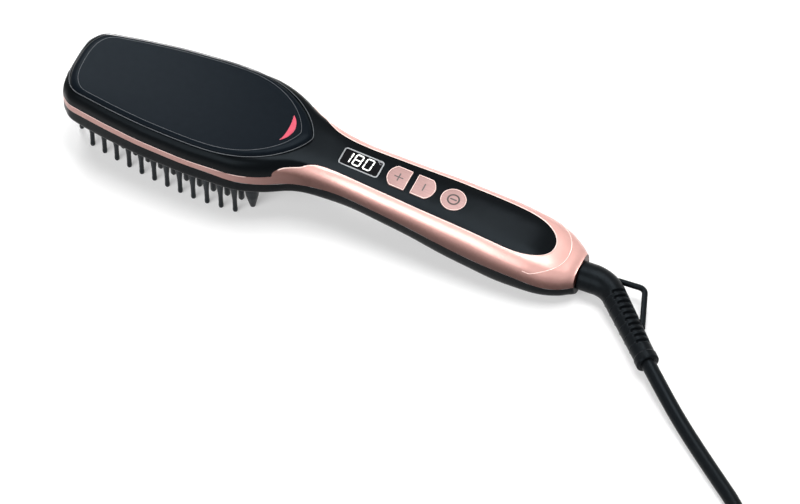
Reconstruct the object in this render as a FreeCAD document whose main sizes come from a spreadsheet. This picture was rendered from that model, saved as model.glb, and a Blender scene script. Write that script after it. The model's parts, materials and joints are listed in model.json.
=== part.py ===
import FreeCAD, Part
import math
import os
import Sketcher
from FreeCAD import Placement, Rotation, Vector

# A heated hair straightening brush, lying on its bristle tips and the heel of its handle.
# Millimetres. +X runs from the head to the handle, +Z up, z = 0 is the plane of the bristle tips,
# and x = 0, y = 0 is the middle of the brush on its plane of symmetry.

os.makedirs("parts", exist_ok=True)
doc = FreeCAD.newDocument("straightening_brush")
sheet = doc.addObject("Spreadsheet::Sheet", "sizes")
SIZES = [
    # outer form
    ("brush_length", 266.4), ("drawn_length", 266.4), ("head_half_width", 29.4), ("nose_half_width", 20.0),
    ("nose_depth", 11.9), ("nose_rise", 28.5),
    ("widest_at", 77.4), ("neck_at", 145.4), ("grip_at", 230.4), ("neck_half_width", 15.1),
    ("grip_half_width", 18.6), ("end_half_width", 9.3), ("crown_height", 44.8), ("pad_height", 20.0),
    ("panel_height", 39.5), ("panel_tilt", 5.9), ("heel_clearance", 0.05), ("band_low", 31.4),
    ("band_width", 4.2), ("wall", 2.0), ("end_wall", 4.0), ("nose_wall", 4.5), ("parting", 0.1),
    # head cover
    ("cover_top", 46.2), ("groove_height", 42.3), ("rim_width", 2.8), ("cover_slope", 2.2), ("cover_back", 18.3),
    ("deck_top", 40.4), ("deck_depth", 1.8), ("fit", 0.15), ("crescent_back", 27.9), ("crescent_half_width", 8.0),
    # handle inlay and controls
    ("trim_width", 5.1), ("inlay_depth", 5.0), ("inlay_back", 13.5), ("window_length", 19.4), ("window_width", 9.0),
    ("window_at", 6.9), ("lens_step", 1.0), ("window_depth", 1.3), ("key_length", 10.6), ("key_width", 11.8),
    ("key_gap", 3.2), ("keys_at", 33.0), ("power_at", 54.9), ("power_diameter", 12.4), ("key_clearance", 0.2),
    ("key_stand", 0.5), ("flange", 1.0), ("flange_depth", 0.8), ("panel_wall", 2.3),
    ("board_depth", 8.4), ("board_thickness", 1.6), ("board_length", 76.0), ("board_width", 19.0),
    ("switch_size", 6.0), ("boss_diameter", 5.0), ("screw_diameter", 2.2),
    # brush underside
    ("pad_inset", 3.2), ("pad_back", 32.0), ("pad_top", 27.0), ("pad_floor", 3.4), ("ledge", 2.7),
    ("plate_thickness", 2.0), ("plate_margin", 0.7),
    ("bristle_pitch", 7.25), ("bristle_tip", 2.45), ("bristle_foot", 4.0), ("bristle_stem", 2.6), ("pin_reach", 8.0),
    ("pin_tip", 1.8), ("pin_root", 3.0), ("cap_diameter", 3.0), ("cap_low", 0.8), ("cap_overlap", 2.5),
    ("peg_foot", 7.8), ("peg_tip", 2.8), ("peg_stem", 4.0), ("peg_back", 43.5),
    ("heater_length", 32.0), ("heater_width", 15.0), ("heater_height", 3.0), ("sheet_thickness", 0.5),
    ("clamp_thickness", 1.2),
    # cord, strain relief and plug
    ("axis_height", 9.5), ("journal_diameter", 10.0), ("running", 0.08), ("relief_diameter", 14.2),
    ("relief_turn", 44.4), ("relief_length", 51.0), ("relief_root", 12.4),
    ("relief_end", 10.6), ("face_gap", 0.3), ("loop_diameter", 2.9), ("cord_diameter", 7.25),
    ("coil_radius", 36.25), ("coil_band", 22.5), ("coil_height", 15.6),
    ("pin_diameter", 4.0), ("pin_length", 19.0), ("pin_spacing", 18.6), ("plug_length", 36.0),
    ("plug_width", 35.3), ("plug_height", 13.7),
]
for row, (alias, value) in enumerate(SIZES, start=1):
    sheet.set(f"A{row}", alias)
    sheet.set(f"B{row}", str(value))
    sheet.setAlias(f"B{row}", alias)
doc.recompute()


class Values:
    """The spreadsheet's cells as attributes."""

    def __getattr__(self, alias):
        return float(sheet.get(alias))


s = Values()
K = s.brush_length / s.drawn_length  # the stations along the brush are drawn at drawn_length and stretch with it
TIP = -s.brush_length / 2
END = s.brush_length / 2
NECK = TIP + s.neck_at * K
TILT = math.tan(math.radians(s.panel_tilt))


# ---------------------------------------------------------------- form of the brush
def drawn(x):
    """Distance from the nose on the brush as drawn; every form along it stretches with the brush's length."""
    return (x - TIP) / K


def smooth(points, x):
    """Monotone cubic through (x, value) points, level beyond both ends."""
    if x <= points[0][0]:
        return points[0][1]
    if x >= points[-1][0]:
        return points[-1][1]
    n = len(points)
    step = [points[i + 1][0] - points[i][0] for i in range(n - 1)]
    rise = [(points[i + 1][1] - points[i][1]) / step[i] for i in range(n - 1)]
    slope = [rise[0]] + [0.0] * (n - 2) + [rise[-1]]
    for i in range(1, n - 1):
        if rise[i - 1] * rise[i] > 0:
            first, second = 2 * step[i] + step[i - 1], step[i] + 2 * step[i - 1]
            slope[i] = (first + second) / (first / rise[i - 1] + second / rise[i])
    i = max(k for k in range(n - 1) if points[k][0] <= x)
    t = (x - points[i][0]) / step[i]
    return (
        points[i][1] * (1 + 2 * t) * (1 - t) ** 2
        + slope[i] * step[i] * t * (1 - t) ** 2
        + points[i + 1][1] * t * t * (3 - 2 * t)
        + slope[i + 1] * step[i] * t * t * (t - 1)
    )


def rounding(depth, reach, power):
    """How far a superelliptic edge has risen, 0 to 1, at a depth inside it."""
    inside = min(1.0, max(0.0, depth / reach))
    return (1 - (1 - inside) ** power) ** (1 / power)


def half_width(x):
    """Half the brush's width: a blunt nose, a paddle widest near its neck, a waist and a grip."""
    d = drawn(x)
    nose_slope = 0.17
    if d < s.nose_depth:
        return s.nose_half_width * rounding(d + 0.25, s.nose_depth + 0.25, 2.7) + nose_slope * d
    neck, grip, end = s.neck_at, s.grip_at, s.drawn_length
    return smooth(
        [
            (s.nose_depth, s.nose_half_width + nose_slope * s.nose_depth),
            (s.widest_at - 46.5, s.head_half_width - 4.0),
            (s.widest_at - 25.0, s.head_half_width - 1.3),
            (s.widest_at, s.head_half_width),
            (s.widest_at + 20.5, s.head_half_width - 0.9),
            (s.widest_at + 29.5, s.head_half_width - 3.2),
            (neck - 29.5, s.neck_half_width + 7.3),
            (neck - 21.5, s.neck_half_width + 3.3),
            (neck - 13.5, s.neck_half_width + 1.4),
            (neck, s.neck_half_width),
            (neck + 27.0, s.neck_half_width + 0.9),
            (grip - 30.0, s.grip_half_width - 1.0),
            (grip, s.grip_half_width),
            (end - 22.5, s.grip_half_width - 0.5),
            (end - 12.5, s.grip_half_width - 2.2),
            (end - 4.5, s.end_half_width + 3.3),
            (end, s.end_half_width),
        ],
        d,
    )


def seam_low(x):
    """Height of the seam between the metal-look trim and the black underside, where the body is widest."""
    neck, end = s.neck_at, s.drawn_length
    return smooth(
        [
            (0.0, s.band_low),
            (s.widest_at, s.band_low - 0.2),
            (neck - 44.0, s.band_low - 1.6),
            (neck - 18.0, s.band_low - 2.2),
            (neck, s.band_low - 2.9),
            (neck + 18.0, s.band_low - 5.0),
            (neck + 40.0, s.band_low - 8.4),
            (neck + 71.5, s.band_low - 13.8),
            (end - 28.5, s.axis_height + 5.8),
            (end - 9.4, s.axis_height + 2.0),
            (end, s.axis_height + 0.9),
        ],
        drawn(x),
    )


def crown(x):
    """Height of the body's top line: level over the head, then the handle's straight, tilted control panel."""
    d = drawn(x)
    panel_start, end = s.neck_at, s.drawn_length
    panel_end = s.panel_height - TILT * 70.0 * K
    low = seam_low(x)
    if d < s.nose_rise:
        return low + (s.crown_height - low) * rounding(d + 0.25, s.nose_rise + 0.5, 4.5)
    return smooth(
        [
            (0.0, s.crown_height),
            (panel_start - 47.0, s.crown_height),
            (panel_start - 33.0, s.crown_height - 0.15),
            (panel_start - 21.5, s.crown_height - 1.2),
            (panel_start - 9.5, s.panel_height + TILT * 9.5 * K + 0.7),
            (panel_start, s.panel_height),
            (panel_start + 70.0, panel_end),
            (end - 35.5, panel_end - 2.6),
            (end - 22.5, panel_end - 5.3),
            (end - 12.5, s.axis_height + 14.2),
            (end - 4.5, s.axis_height + 10.8),
            (end, s.axis_height + 8.4),
        ],
        d,
    )


def underside(x):
    """Height of the body's bottom line: the brush face, the neck, and the heel that the handle rests on."""
    d = drawn(x)
    low = seam_low(x)
    neck, end = s.neck_at, s.drawn_length
    if d < s.nose_rise:
        return low - (low - s.pad_height) * rounding(d + 0.25, s.nose_rise + 0.5, 3.0)
    return smooth(
        [
            (0.0, s.pad_height),
            (neck - 42.0, s.pad_height),
            (neck - 21.5, s.pad_height - 0.1),
            (neck - 10.0, s.pad_height - 2.2),
            (neck, s.pad_height - 4.1),
            (neck + 25.0, s.pad_height - 7.7),
            (neck + 55.0, s.pad_height - 14.3),
            (end - 50.5, 2.6),
            (end - 36.0, s.heel_clearance + 0.25),
            (end - 28.0, s.heel_clearance),
            (end - 20.0, s.heel_clearance + 0.2),
            (end - 12.5, 0.9),
            (end - 4.5, 1.5),
            (end, 1.9),
        ],
        d,
    )


def shoulder(x):
    """Exponent of the section's upper half: squarer over the head, rounder on the handle."""
    neck = s.neck_at
    return smooth([(neck - 45.0, 7.0), (neck - 16.0, 4.5), (neck + 5.0, 3.2)], drawn(x))


def keel(x):
    """Exponent of the section's lower half: a flat brush face with upright sides, then a rounder handle."""
    neck = s.neck_at
    return smooth([(neck - 50.0, 7.0), (neck - 22.0, 4.5), (neck + 5.0, 3.0)], drawn(x))


def ring_points(x, inset):
    """Points round the superelliptic section of the body at x, shrunk by inset."""
    a = half_width(x) - inset
    low = seam_low(x)
    upper, lower = crown(x) - inset - low, low - underside(x) - inset
    points = []
    for k in range(32):
        angle = 2 * math.pi * k / 32 - math.pi / 2
        c, sn = math.cos(angle), math.sin(angle)
        power = shoulder(x) if sn > 0 else keel(x)
        r = (abs(c) ** power + abs(sn) ** power) ** (-1 / power)
        points.append(Vector(x, a * r * c, low + (upper if sn > 0 else lower) * r * sn))
    return points


def shared_knots():
    """Chord lengths round the widest section, from 0 to 1: every section uses them, so that a loft stays light."""
    points = ring_points(TIP + s.widest_at * K, 0.0)
    steps = [0.0]
    for a, b in zip(points, points[1:] + points[:1]):
        steps.append(steps[-1] + (b - a).Length)
    return [step / steps[-1] for step in steps]


KNOTS = shared_knots()


def section(x, inset):
    """Closed smooth section of the body at x, shrunk by inset."""
    curve = Part.BSplineCurve()
    curve.interpolate(Points=ring_points(x, inset), PeriodicFlag=True, Parameters=KNOTS)
    return Part.Wire([curve.toShape()])


def envelope(inset, start, stop):
    """Solid of the whole body, inset from its skin, between two distances from the nose."""
    ahead = [0.0, 1.0, 2.2, 4.0, 6.5, 9.0, s.nose_depth]
    behind = (4, 10, 18, 28, 40, 52, 65, 76, 86, 94, 102, 110, 118, 126, 136, 150, 166, 182, 198)
    body = [s.nose_depth + d for d in behind]
    back = [44, 34, 26, 19, 13, 8.5, 4.5, 2.0, 0.0]
    stations = [TIP + K * d for d in ahead + body + [s.drawn_length - b for b in back]]
    first, last = TIP + start, TIP + stop
    places = [first] + [x for x in stations if first + 1.2 < x < last - 1.2] + [last]
    return Part.makeLoft([section(x, inset) for x in places], True, False, False, 3)


def above(height, lift=0.0):
    """Solid above the curve z = height(x) + lift, across the whole width."""
    reach, top, side = 6.0, 70.0, 60.0
    count = 44
    span = s.brush_length + 2 * reach
    points = []
    for k in range(count + 1):
        x = TIP - reach + span * k / count
        points.append(Vector(x, -side, height(x) + lift))
    curve = Part.BSplineCurve()
    curve.interpolate(points)
    first, last = points[0], points[-1]
    corners = [last, Vector(last.x, -side, top), Vector(first.x, -side, top), first]
    edges = [curve.toShape()] + [Part.LineSegment(a, b).toShape() for a, b in zip(corners, corners[1:])]
    return Part.Face(Part.Wire(edges)).extrude(Vector(0, 2 * side, 0))


def mirrored_wire(points, height, closed):
    """Smooth outline through points of the +Y side and their mirror images, at a height."""
    upper = [Vector(x, y, height) for x, y in points]
    lower = [Vector(x, -y, height) for x, y in reversed(points) if y > 1e-6]
    curve = Part.BSplineCurve()
    if closed:
        curve.interpolate(Points=upper + lower, PeriodicFlag=True)
        return Part.Wire([curve.toShape()])
    curve.interpolate(upper + lower)
    return Part.Wire([curve.toShape(), Part.LineSegment(lower[-1], upper[0]).toShape()])


def prism(points, low, high, closed=True):
    """Straight-sided solid on a mirrored outline."""
    return Part.Face(mirrored_wire(points, low, closed)).extrude(Vector(0, 0, high - low))


def egg(side_inset, nose_inset, end, fullness, sharpness):
    """Outline inside the head: the body's own outline drawn in up to the widest place, then a closing curve."""
    widest = TIP + s.widest_at * K
    along = 1 - nose_inset / s.widest_at
    across = 1 - side_inset / s.head_half_width
    points = []
    for d in (0.0, 0.5, 1.4, 2.8, 4.5, 6.8, 9.5, 14.0, 20.0, 30.0, 42.0, 55.0, 65.0):
        x = TIP + d * K * s.widest_at / 75.0
        points.append((widest + (x - widest) * along, half_width(x) * across))
    for angle in range(0, 91, 9):
        t = math.sin(math.radians(angle))
        y = (s.head_half_width - side_inset) * (1 - t**fullness) ** sharpness
        points.append((widest + (end - widest) * t, y if angle < 90 else 0.0))
    return points


def cover_outline(inset):
    """Outline of the head cover, drawn in from the groove by inset."""
    return egg(s.rim_width + inset, s.rim_width + inset * 1.8, NECK - s.cover_back * K - inset * 2.6, 2.4, 0.72)


def pad_outline(inset):
    """Outline of the brush pad, drawn in from its own edge by inset."""
    return egg(s.pad_inset + inset, s.pad_inset + inset, NECK - s.pad_back * K - inset, 3.5, 0.45)


def seam_high(x):
    """Height of the seam between the black top and the trim; under the handle's inlay it is the inlay's floor."""
    neck, end = s.neck_at, s.drawn_length
    floor = s.panel_height - TILT * 70.0 * K - s.inlay_depth
    return smooth(
        [
            (0.0, s.band_low + s.band_width),
            (s.widest_at, s.band_low + s.band_width - 0.6),
            (neck - 43.0, s.band_low + s.band_width - 0.7),
            (neck - 30.0, s.band_low + s.band_width - 0.2),
            (neck - 15.0, s.panel_height - 3.4),
            (neck, s.panel_height - s.inlay_depth),
            (neck + 70.0, floor),
            (end - 35.5, floor - 2.6),
            (end, floor - 7.6),
        ],
        drawn(x),
    )


def inlay_outline(grow):
    """Outline of the black inlay: outside the body over the head, then a strip inside the trim with a round end."""
    neck, trim = s.neck_at, s.trim_width
    spread = [
        (0.0, 8.0),
        (neck - 43.0, 3.2),
        (neck - 37.0, 1.9),
        (neck - 32.0, 0.5),
        (neck - 26.0, -1.1),
        (neck - 21.5, -1.5),
        (neck - 18.2, -2.0),
        (neck - 14.2, 1.3 - trim),
        (neck - 9.6, 0.2 - trim),
        (neck, -trim),
        (neck + 32.0, -trim - 0.2),
        (neck + 74.0, -trim - 1.1),
        (neck + 85.0, -trim - 1.2),
    ]
    finish, round_length = END - s.inlay_back + grow, 22.0
    start = finish - grow - round_length
    places = [TIP + K * d for d in (32.0, 62.0, 87.0)]
    over_neck = (-43, -37, -32, -26, -21.5, -18.2, -14.2, -9.6, -4.5)
    places += [NECK + K * d for d in over_neck + (0, 8, 18, 30, 42, 54, 66, 76)]
    points = [(TIP - 4.0, s.head_half_width + 8.0)]
    for x in places:
        points.append((x, half_width(x) + smooth(spread, drawn(x)) + grow))
    width = half_width(start) + smooth(spread, drawn(start)) + grow
    for angle in range(0, 91, 10):
        x = start + (round_length + grow) * math.sin(math.radians(angle))
        y = width * rounding(finish - x, round_length + grow, 2.2)
        points.append((x, y if angle < 90 else 0.0))
    return points


# ---------------------------------------------------------------- helpers for the sub-parts
pieces = []


def keep(piece, label):
    """Registers a finished sub-part under its node name."""
    piece.Label = label
    pieces.append(piece)
    return piece


def feature(label, shape):
    """A sub-part whose free-form shape is worked out above."""
    piece = doc.addObject("Part::Feature", label)
    piece.Shape = shape
    return keep(piece, label)


def primitive(kind, name, place=Placement(), **sizes):
    """A Part primitive whose sizes are bound to the sheet."""
    piece = doc.addObject("Part::" + kind, name)
    for prop, expression in sizes.items():
        piece.setExpression(prop, expression)
    piece.Placement = place
    return piece


def at(x, y, z, turn=Rotation()):
    return Placement(Vector(x, y, z), turn)


TO_X = Rotation(Vector(0, 1, 0), 90)
PANEL = Placement(Vector(NECK, 0, s.panel_height), Rotation(Vector(0, 1, 0), s.panel_tilt))


def on_panel(x, y, z):
    """Placement on the tilted control panel: x behind the neck along the body, z above the panel's plane."""
    return PANEL.multiply(at(x / math.cos(math.radians(s.panel_tilt)), y, z))


def plane_of(body, role):
    return next(f for f in body.Origin.OriginFeatures if f.Role == role)


def slab(name, length, width, height, place, corner=None, rim=None):
    """PartDesign body: a centred rectangle padded up, with its upright corners and then its rims rounded."""
    body = doc.addObject("PartDesign::Body", name)
    sketch = body.newObject("Sketcher::SketchObject", name + "_outline")
    sketch.AttachmentSupport = (plane_of(body, "XY_Plane"), [""])
    sketch.MapMode = "FlatFace"
    corners = [Vector(-5, -5, 0), Vector(5, -5, 0), Vector(5, 5, 0), Vector(-5, 5, 0)]
    for a, b in zip(corners, corners[1:] + corners[:1]):
        sketch.addGeometry(Part.LineSegment(a, b), False)
    for i in range(4):
        sketch.addConstraint(Sketcher.Constraint("Coincident", i, 2, (i + 1) % 4, 1))
    sketch.addConstraint(Sketcher.Constraint("Horizontal", 0))
    sketch.addConstraint(Sketcher.Constraint("Horizontal", 2))
    sketch.addConstraint(Sketcher.Constraint("Vertical", 1))
    sketch.addConstraint(Sketcher.Constraint("Vertical", 3))
    sketch.addConstraint(Sketcher.Constraint("Symmetric", 0, 1, 2, 1, -1, 1))
    across = sketch.addConstraint(Sketcher.Constraint("DistanceX", 0, 1, 0, 2, 10))
    along = sketch.addConstraint(Sketcher.Constraint("DistanceY", 1, 1, 1, 2, 10))
    sketch.setExpression(f"Constraints[{across}]", length)
    sketch.setExpression(f"Constraints[{along}]", width)
    pad = body.newObject("PartDesign::Pad", name + "_pad")
    pad.Profile = sketch
    pad.setExpression("Length", height)
    doc.recompute()
    if corner:
        fillet = body.newObject("PartDesign::Fillet", name + "_corners")
        upright = [
            f"Edge{i + 1}"
            for i, e in enumerate(pad.Shape.Edges)
            if math.hypot(e.Vertexes[0].X - e.Vertexes[-1].X, e.Vertexes[0].Y - e.Vertexes[-1].Y) < 1e-6
        ]
        fillet.Base = (pad, upright)
        fillet.setExpression("Radius", corner)
        doc.recompute()
    if rim:
        flat = [
            f"Edge{i + 1}"
            for i, e in enumerate(fillet.Shape.Edges)
            if abs(e.BoundBox.ZMax - e.BoundBox.ZMin) < 1e-6
        ]
        rims = body.newObject("PartDesign::Fillet", name + "_rims")
        rims.Base = (fillet, flat)
        rims.setExpression("Radius", rim)
    body.Placement = place
    doc.recompute()
    return body


def cut(name, base, tool):
    piece = doc.addObject("Part::Cut", name)
    piece.Base, piece.Tool = base, tool
    return piece


def fuse(name, shapes):
    piece = doc.addObject("Part::MultiFuse", name)
    piece.Shapes = shapes
    return piece


def cylinder(radius, height, x, y, z):
    return Part.makeCylinder(radius, height, Vector(x, y, z))


# ---------------------------------------------------------------- shells
outer = envelope(0.0, 0.0, s.brush_length)
inner = envelope(s.wall, s.nose_wall, s.brush_length - s.end_wall)
shell = outer.cut(inner)
DEEP = 80.0


def block(x0, x1, half, z0, z1):
    """Box centred on the symmetry plane."""
    return Part.makeBox(x1 - x0, 2 * half, z1 - z0, Vector(x0, -half, z0))


def on_deck(shape, x, z=0.0):
    """A shape drawn about the origin, set on the tilted control panel."""
    placed = shape.copy()
    placed.Placement = on_panel(x, 0, z).multiply(placed.Placement)
    return placed


def rounded(length, width, low, high, corner):
    """Block centred on the z axis with round upright corners."""
    box = Part.makeBox(length, width, high - low, Vector(-length / 2, -width / 2, low))
    upright = [e for e in box.Edges if abs(e.tangentAt(e.FirstParameter).z) > 0.9]
    return box.makeFillet(corner, upright)


def key_shape(grow, low, high, turn=0.0):
    """A key with one straight side at x = 0 and a rounded outer end at -x, grown all round."""
    length, half = s.key_length, s.key_width / 2 + grow
    box = Part.makeBox(length + 2 * grow, 2 * half, high - low, Vector(-length - grow, -half, low))
    disc = Part.makeCylinder(length * 0.68 + grow, high - low, Vector(-length * 0.32, 0, low))
    straight = Part.makeBox(length * 0.7 + grow, 2 * half, high - low, Vector(-length * 0.7, -half, low))
    solid = box.common(disc.fuse(straight)).removeSplitter()
    solid.rotate(Vector(), Vector(0, 0, 1), turn)
    return solid


# screws that pull the underside and the top together: x, height where their posts meet, top of the upper post
screw_stations = [
    (NECK - 18.5 * K, 30.0, s.deck_top - s.deck_depth / 2),
    (NECK + 85.5 * K, 14.5, crown(NECK + 85.5 * K) - s.wall / 2),
]
clamp_top = s.pad_top + s.plate_thickness + s.heater_height + s.sheet_thickness + s.clamp_thickness
middle = TIP + 55.9 * K
heater_places = [middle - 17.5 * K, middle + 17.5 * K]
clamp_posts = [(x, y) for x in (heater_places[0] - 8.0 * K, heater_places[1] + 8.0 * K) for y in (-6.0, 6.0)]
board_posts = [(-5.0, 5.6), (-5.0, -5.6), (s.board_length - 10, 6.0), (s.board_length - 10, -6.0)]

# head cover and its crescent-shaped indicator window
cover_levels = [
    (s.deck_top + s.fit, s.fit),
    (s.groove_height, s.fit),
    (s.groove_height + 1.5, s.cover_slope * 0.16),
    (s.cover_top - 1.2, s.cover_slope * 0.42),
    (s.cover_top - 0.35, s.cover_slope * 0.75),
    (s.cover_top, s.cover_slope),
]
cover = Part.makeLoft([mirrored_wire(cover_outline(i), z, True) for z, i in cover_levels], True, True)


def crescent(grow, low, high):
    """Prism between two arcs whose ends meet."""
    front = NECK - s.crescent_back * K
    tip_x, tip_y = front - 3.9 - grow / 2, s.crescent_half_width + grow
    points = [Vector(tip_x, tip_y, low), Vector(tip_x, -tip_y, low)]
    outer_edge = Part.Arc(points[0], Vector(front + grow, 0, low), points[1])
    inner_edge = Part.Arc(points[1], Vector(front - 2.9 - grow, 0, low), points[0])
    face = Part.Face(Part.Wire([outer_edge.toShape(), inner_edge.toShape()]))
    return face.extrude(Vector(0, 0, high - low))


feature("head_cover", cover.cut(crescent(s.parting, 0, DEEP)))
feature("indicator_lens", crescent(0.0, s.deck_top + s.fit, s.cover_top + 0.05))
light_x = NECK - s.crescent_back * K - 1.7
deck_floor = s.deck_top - s.deck_depth
light_board = block(light_x - 3.0, light_x + 3.0, 9.5, deck_floor - s.board_thickness, deck_floor - 0.05)
feature("indicator_board", light_board.fuse(block(light_x - 1.2, light_x + 1.2, 2.4, deck_floor - 0.2, s.deck_top)))

# black top: rim round the cover, deck under it, neck and handle inlay
deck = outer.common(block(TIP - 5, NECK - s.cover_back * K + 4.0, 40, deck_floor, DEEP))
panel_room = above(seam_high).common(prism(inlay_outline(-s.parting / 2), 20, DEEP, closed=False))
upper_posts = [cylinder(3.2, high - meet - 0.2, x, 0, meet + 0.2) for x, meet, high in screw_stations]
upper_posts += [cylinder(2.5, deck_floor + 0.9 - clamp_top, x, y, clamp_top + 0.1) for x, y in clamp_posts]
for along, y in board_posts:
    post = Part.makeCylinder(s.boss_diameter / 2, s.board_depth - 1.6, Vector(along, y, -s.board_depth))
    post.Placement = PANEL
    upper_posts.append(post)
top = shell.fuse(deck).common(panel_room).fuse(upper_posts)
window_pocket = rounded(s.window_length + 1.4, s.window_width + 1.4, -s.window_depth, 12, 1.6)
hole_length, hole_width = s.window_length - 2 * s.lens_step, s.window_width - 2 * s.lens_step
key_span = 2 * s.key_length + s.key_gap + 4.4
key_room = Part.makeBox(key_span, 16.6, 6.0, Vector(-key_span / 2, -8.3, -6.0 - s.panel_wall))
plus_x, minus_x = s.keys_at - s.key_gap / 2, s.keys_at + s.key_gap / 2
openings = [
    prism(cover_outline(0.0), s.deck_top, DEEP),
    block(light_x - 1.5, light_x + 1.5, 2.7, deck_floor - 5, s.deck_top + 1),
    on_deck(window_pocket, s.window_at),
    on_deck(rounded(hole_length, hole_width, -20, 5, 0.8), s.window_at),
    on_deck(key_room, s.keys_at),
    on_deck(Part.makeCylinder(8.3, 6.0, Vector(0, 0, -6.0 - s.panel_wall)), s.power_at),
    on_deck(key_shape(s.key_clearance, -6, 10), plus_x),
    on_deck(key_shape(s.key_clearance, -6, 10, 180), minus_x),
    on_deck(Part.makeCylinder(s.power_diameter / 2 + s.key_clearance, 16, Vector(0, 0, -6)), s.power_at),
]
openings += [cylinder(s.screw_diameter / 2 + 0.05, 8.0, x, 0, meet - 1.0) for x, meet, high in screw_stations]
for along, y in board_posts:
    pilot = Part.makeCylinder(0.85, 5.0, Vector(along, y, -s.board_depth - 0.5))
    pilot.Placement = PANEL
    openings.append(pilot)
feature("top_shell", top.cut(openings))

# metal-look trim: a narrow band round the head that widens into the handle's sides and end
bore = Part.makeCylinder(s.journal_diameter / 2 + s.running, 40, Vector(END - 20, 0, s.axis_height), Vector(1, 0, 0))
inlay_room = above(seam_high, -s.parting).common(prism(inlay_outline(s.parting / 2), 20, DEEP, closed=False))
feature("trim_frame", shell.common(above(seam_low, s.parting / 2)).cut([inlay_room, bore]))

# black underside: skirt round the brush pad with a ledge for the heating plate, neck and heel
below = outer.cut(above(seam_low, -s.parting / 2))
ledge = below.common(prism(pad_outline(-s.ledge), -20, s.pad_top))
lower_posts = [
    cylinder(3.5, meet - underside(x) - s.wall / 2, x, 0, underside(x) + s.wall / 2)
    for x, meet, high in screw_stations
]
plate_top = s.pad_top + s.plate_thickness
plate_pocket = prism(pad_outline(-s.plate_margin - s.parting), s.pad_top, plate_top + s.parting)
lower_cuts = [prism(pad_outline(0.0), -20, s.pad_top + 1), plate_pocket, bore]
for x, meet, high in screw_stations:
    lower_cuts.append(cylinder(2.8, 13.0, x, 0, underside(x) - 10))
    lower_cuts.append(cylinder(s.screw_diameter / 2 + 0.3, DEEP, x, 0, 0))
feature("bottom_shell", below.cut(inner).fuse([ledge] + lower_posts).cut(lower_cuts))

shell_screws = []
for x, meet, high in screw_stations:
    head_low = underside(x) + 1.3
    shell_screws.append(
        cylinder(2.5, 1.65, x, 0, head_low).fuse(
            cylinder(s.screw_diameter / 2, meet + 6.5 - head_low, x, 0, head_low)
        )
    )
feature("shell_screws", Part.makeCompound(shell_screws))


# ---------------------------------------------------------------- brush face and heater
def face_height(x, y):
    """Height of the brush face at a point."""
    low = seam_low(x)
    reach = min(1.0, abs(y) / half_width(x))
    return low - (low - underside(x)) * (1 - reach ** keel(x)) ** (1 / keel(x))


def seat_height(x, y, radius):
    """Lowest point of the brush face under a round foot."""
    ring = [(x, y), (x + radius, y), (x - radius, y), (x, y + radius), (x, y - radius)]
    return min(face_height(u, v) for u, v in ring) - 0.15


def turned(profile, x, y):
    """Solid of revolution about the upright line through (x, y), from points (radius, height)."""
    points = [Vector(r, 0, z) for r, z in profile]
    solid = Part.Face(Part.makePolygon(points + points[:1])).revolve(Vector(), Vector(0, 0, 1), 360)
    solid.translate(Vector(x, y, 0))
    return solid


def bristle(x, y, high):
    """A round tip, a slender shaft that flares into a foot on the face, and a stem through the pad."""
    tip, foot, stem = s.bristle_tip / 2, s.bristle_foot / 2, s.bristle_stem / 2
    seat = seat_height(x, y, foot)
    shaft = tip * 0.92
    profile = [
        (0, 0.0),
        (tip * 0.56, tip * 0.12),
        (tip * 0.9, tip * 0.5),
        (tip, tip),
        (tip, tip * 1.8),
        (shaft, tip * 3.0),
        (shaft, seat - 11.0),
        (shaft + (foot - shaft) * 0.2, seat - 8.5),
        (shaft + (foot - shaft) * 0.55, seat - 5.0),
        (foot, seat),
        (stem, seat),
        (stem, high),
        (0, high),
    ]
    return turned(profile, x, y)


def peg(x, y, high):
    """A stout blunt cone that keeps the hot face off the table, with a stem through the pad."""
    tip, foot, stem = s.peg_tip / 2, s.peg_foot / 2, s.peg_stem / 2
    seat = seat_height(x, y, foot)
    profile = [
        (0, 0.0),
        (tip * 0.6, tip * 0.12),
        (tip * 0.95, tip * 0.55),
        (tip * 1.1, tip * 1.2),
        (tip + (foot - tip) * 0.68, seat * 0.45),
        (tip + (foot - tip) * 0.9, seat * 0.7),
        (foot, seat),
        (stem, seat),
        (stem, high),
        (0, high),
    ]
    return turned(profile, x, y)


floor_top = s.pad_height + s.pad_floor
stations = [TIP + K * (15.7 + s.bristle_pitch * k) for k in range(12)]
outer_places, pin_places = [], []
for k, x in enumerate(stations):
    edge = half_width(x) - max(5.1, 8.4 - 0.42 * k)
    row = edge - 7.2
    outer_places += [(x, edge), (x, -edge)]
    pin_places += [(x, row), (x, 0.0), (x, -row)]
    if row > 12:
        pin_places += [(x, row / 2), (x, -row / 2)]
outer_places += [(TIP + 6.4, -7.0), (TIP + 6.4, 0.0), (TIP + 6.4, 7.0)]
peg_x = NECK - s.peg_back * K
peg_places = [(peg_x, side * (half_width(peg_x) - 10.2)) for side in (-1, 0, 1)]
front_x, rear_x = TIP + 19.3 * K, TIP + 91.8 * K
pad_screws = [(front_x, 3.5), (front_x, -3.5), (rear_x, 4.1), (rear_x, -4.1)]

stem_top = floor_top - 0.05
feature("outer_bristles", Part.makeCompound([bristle(x, y, stem_top) for x, y in outer_places]))
feature("rest_pegs", Part.makeCompound([peg(x, y, stem_top) for x, y in peg_places]))
pin_length = s.pad_top - s.pin_reach
pins = [Part.makeCone(s.pin_tip / 2, s.pin_root / 2, pin_length, Vector(x, y, s.pin_reach)) for x, y in pin_places]
feature("heated_pins", Part.makeCompound(pins))


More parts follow.
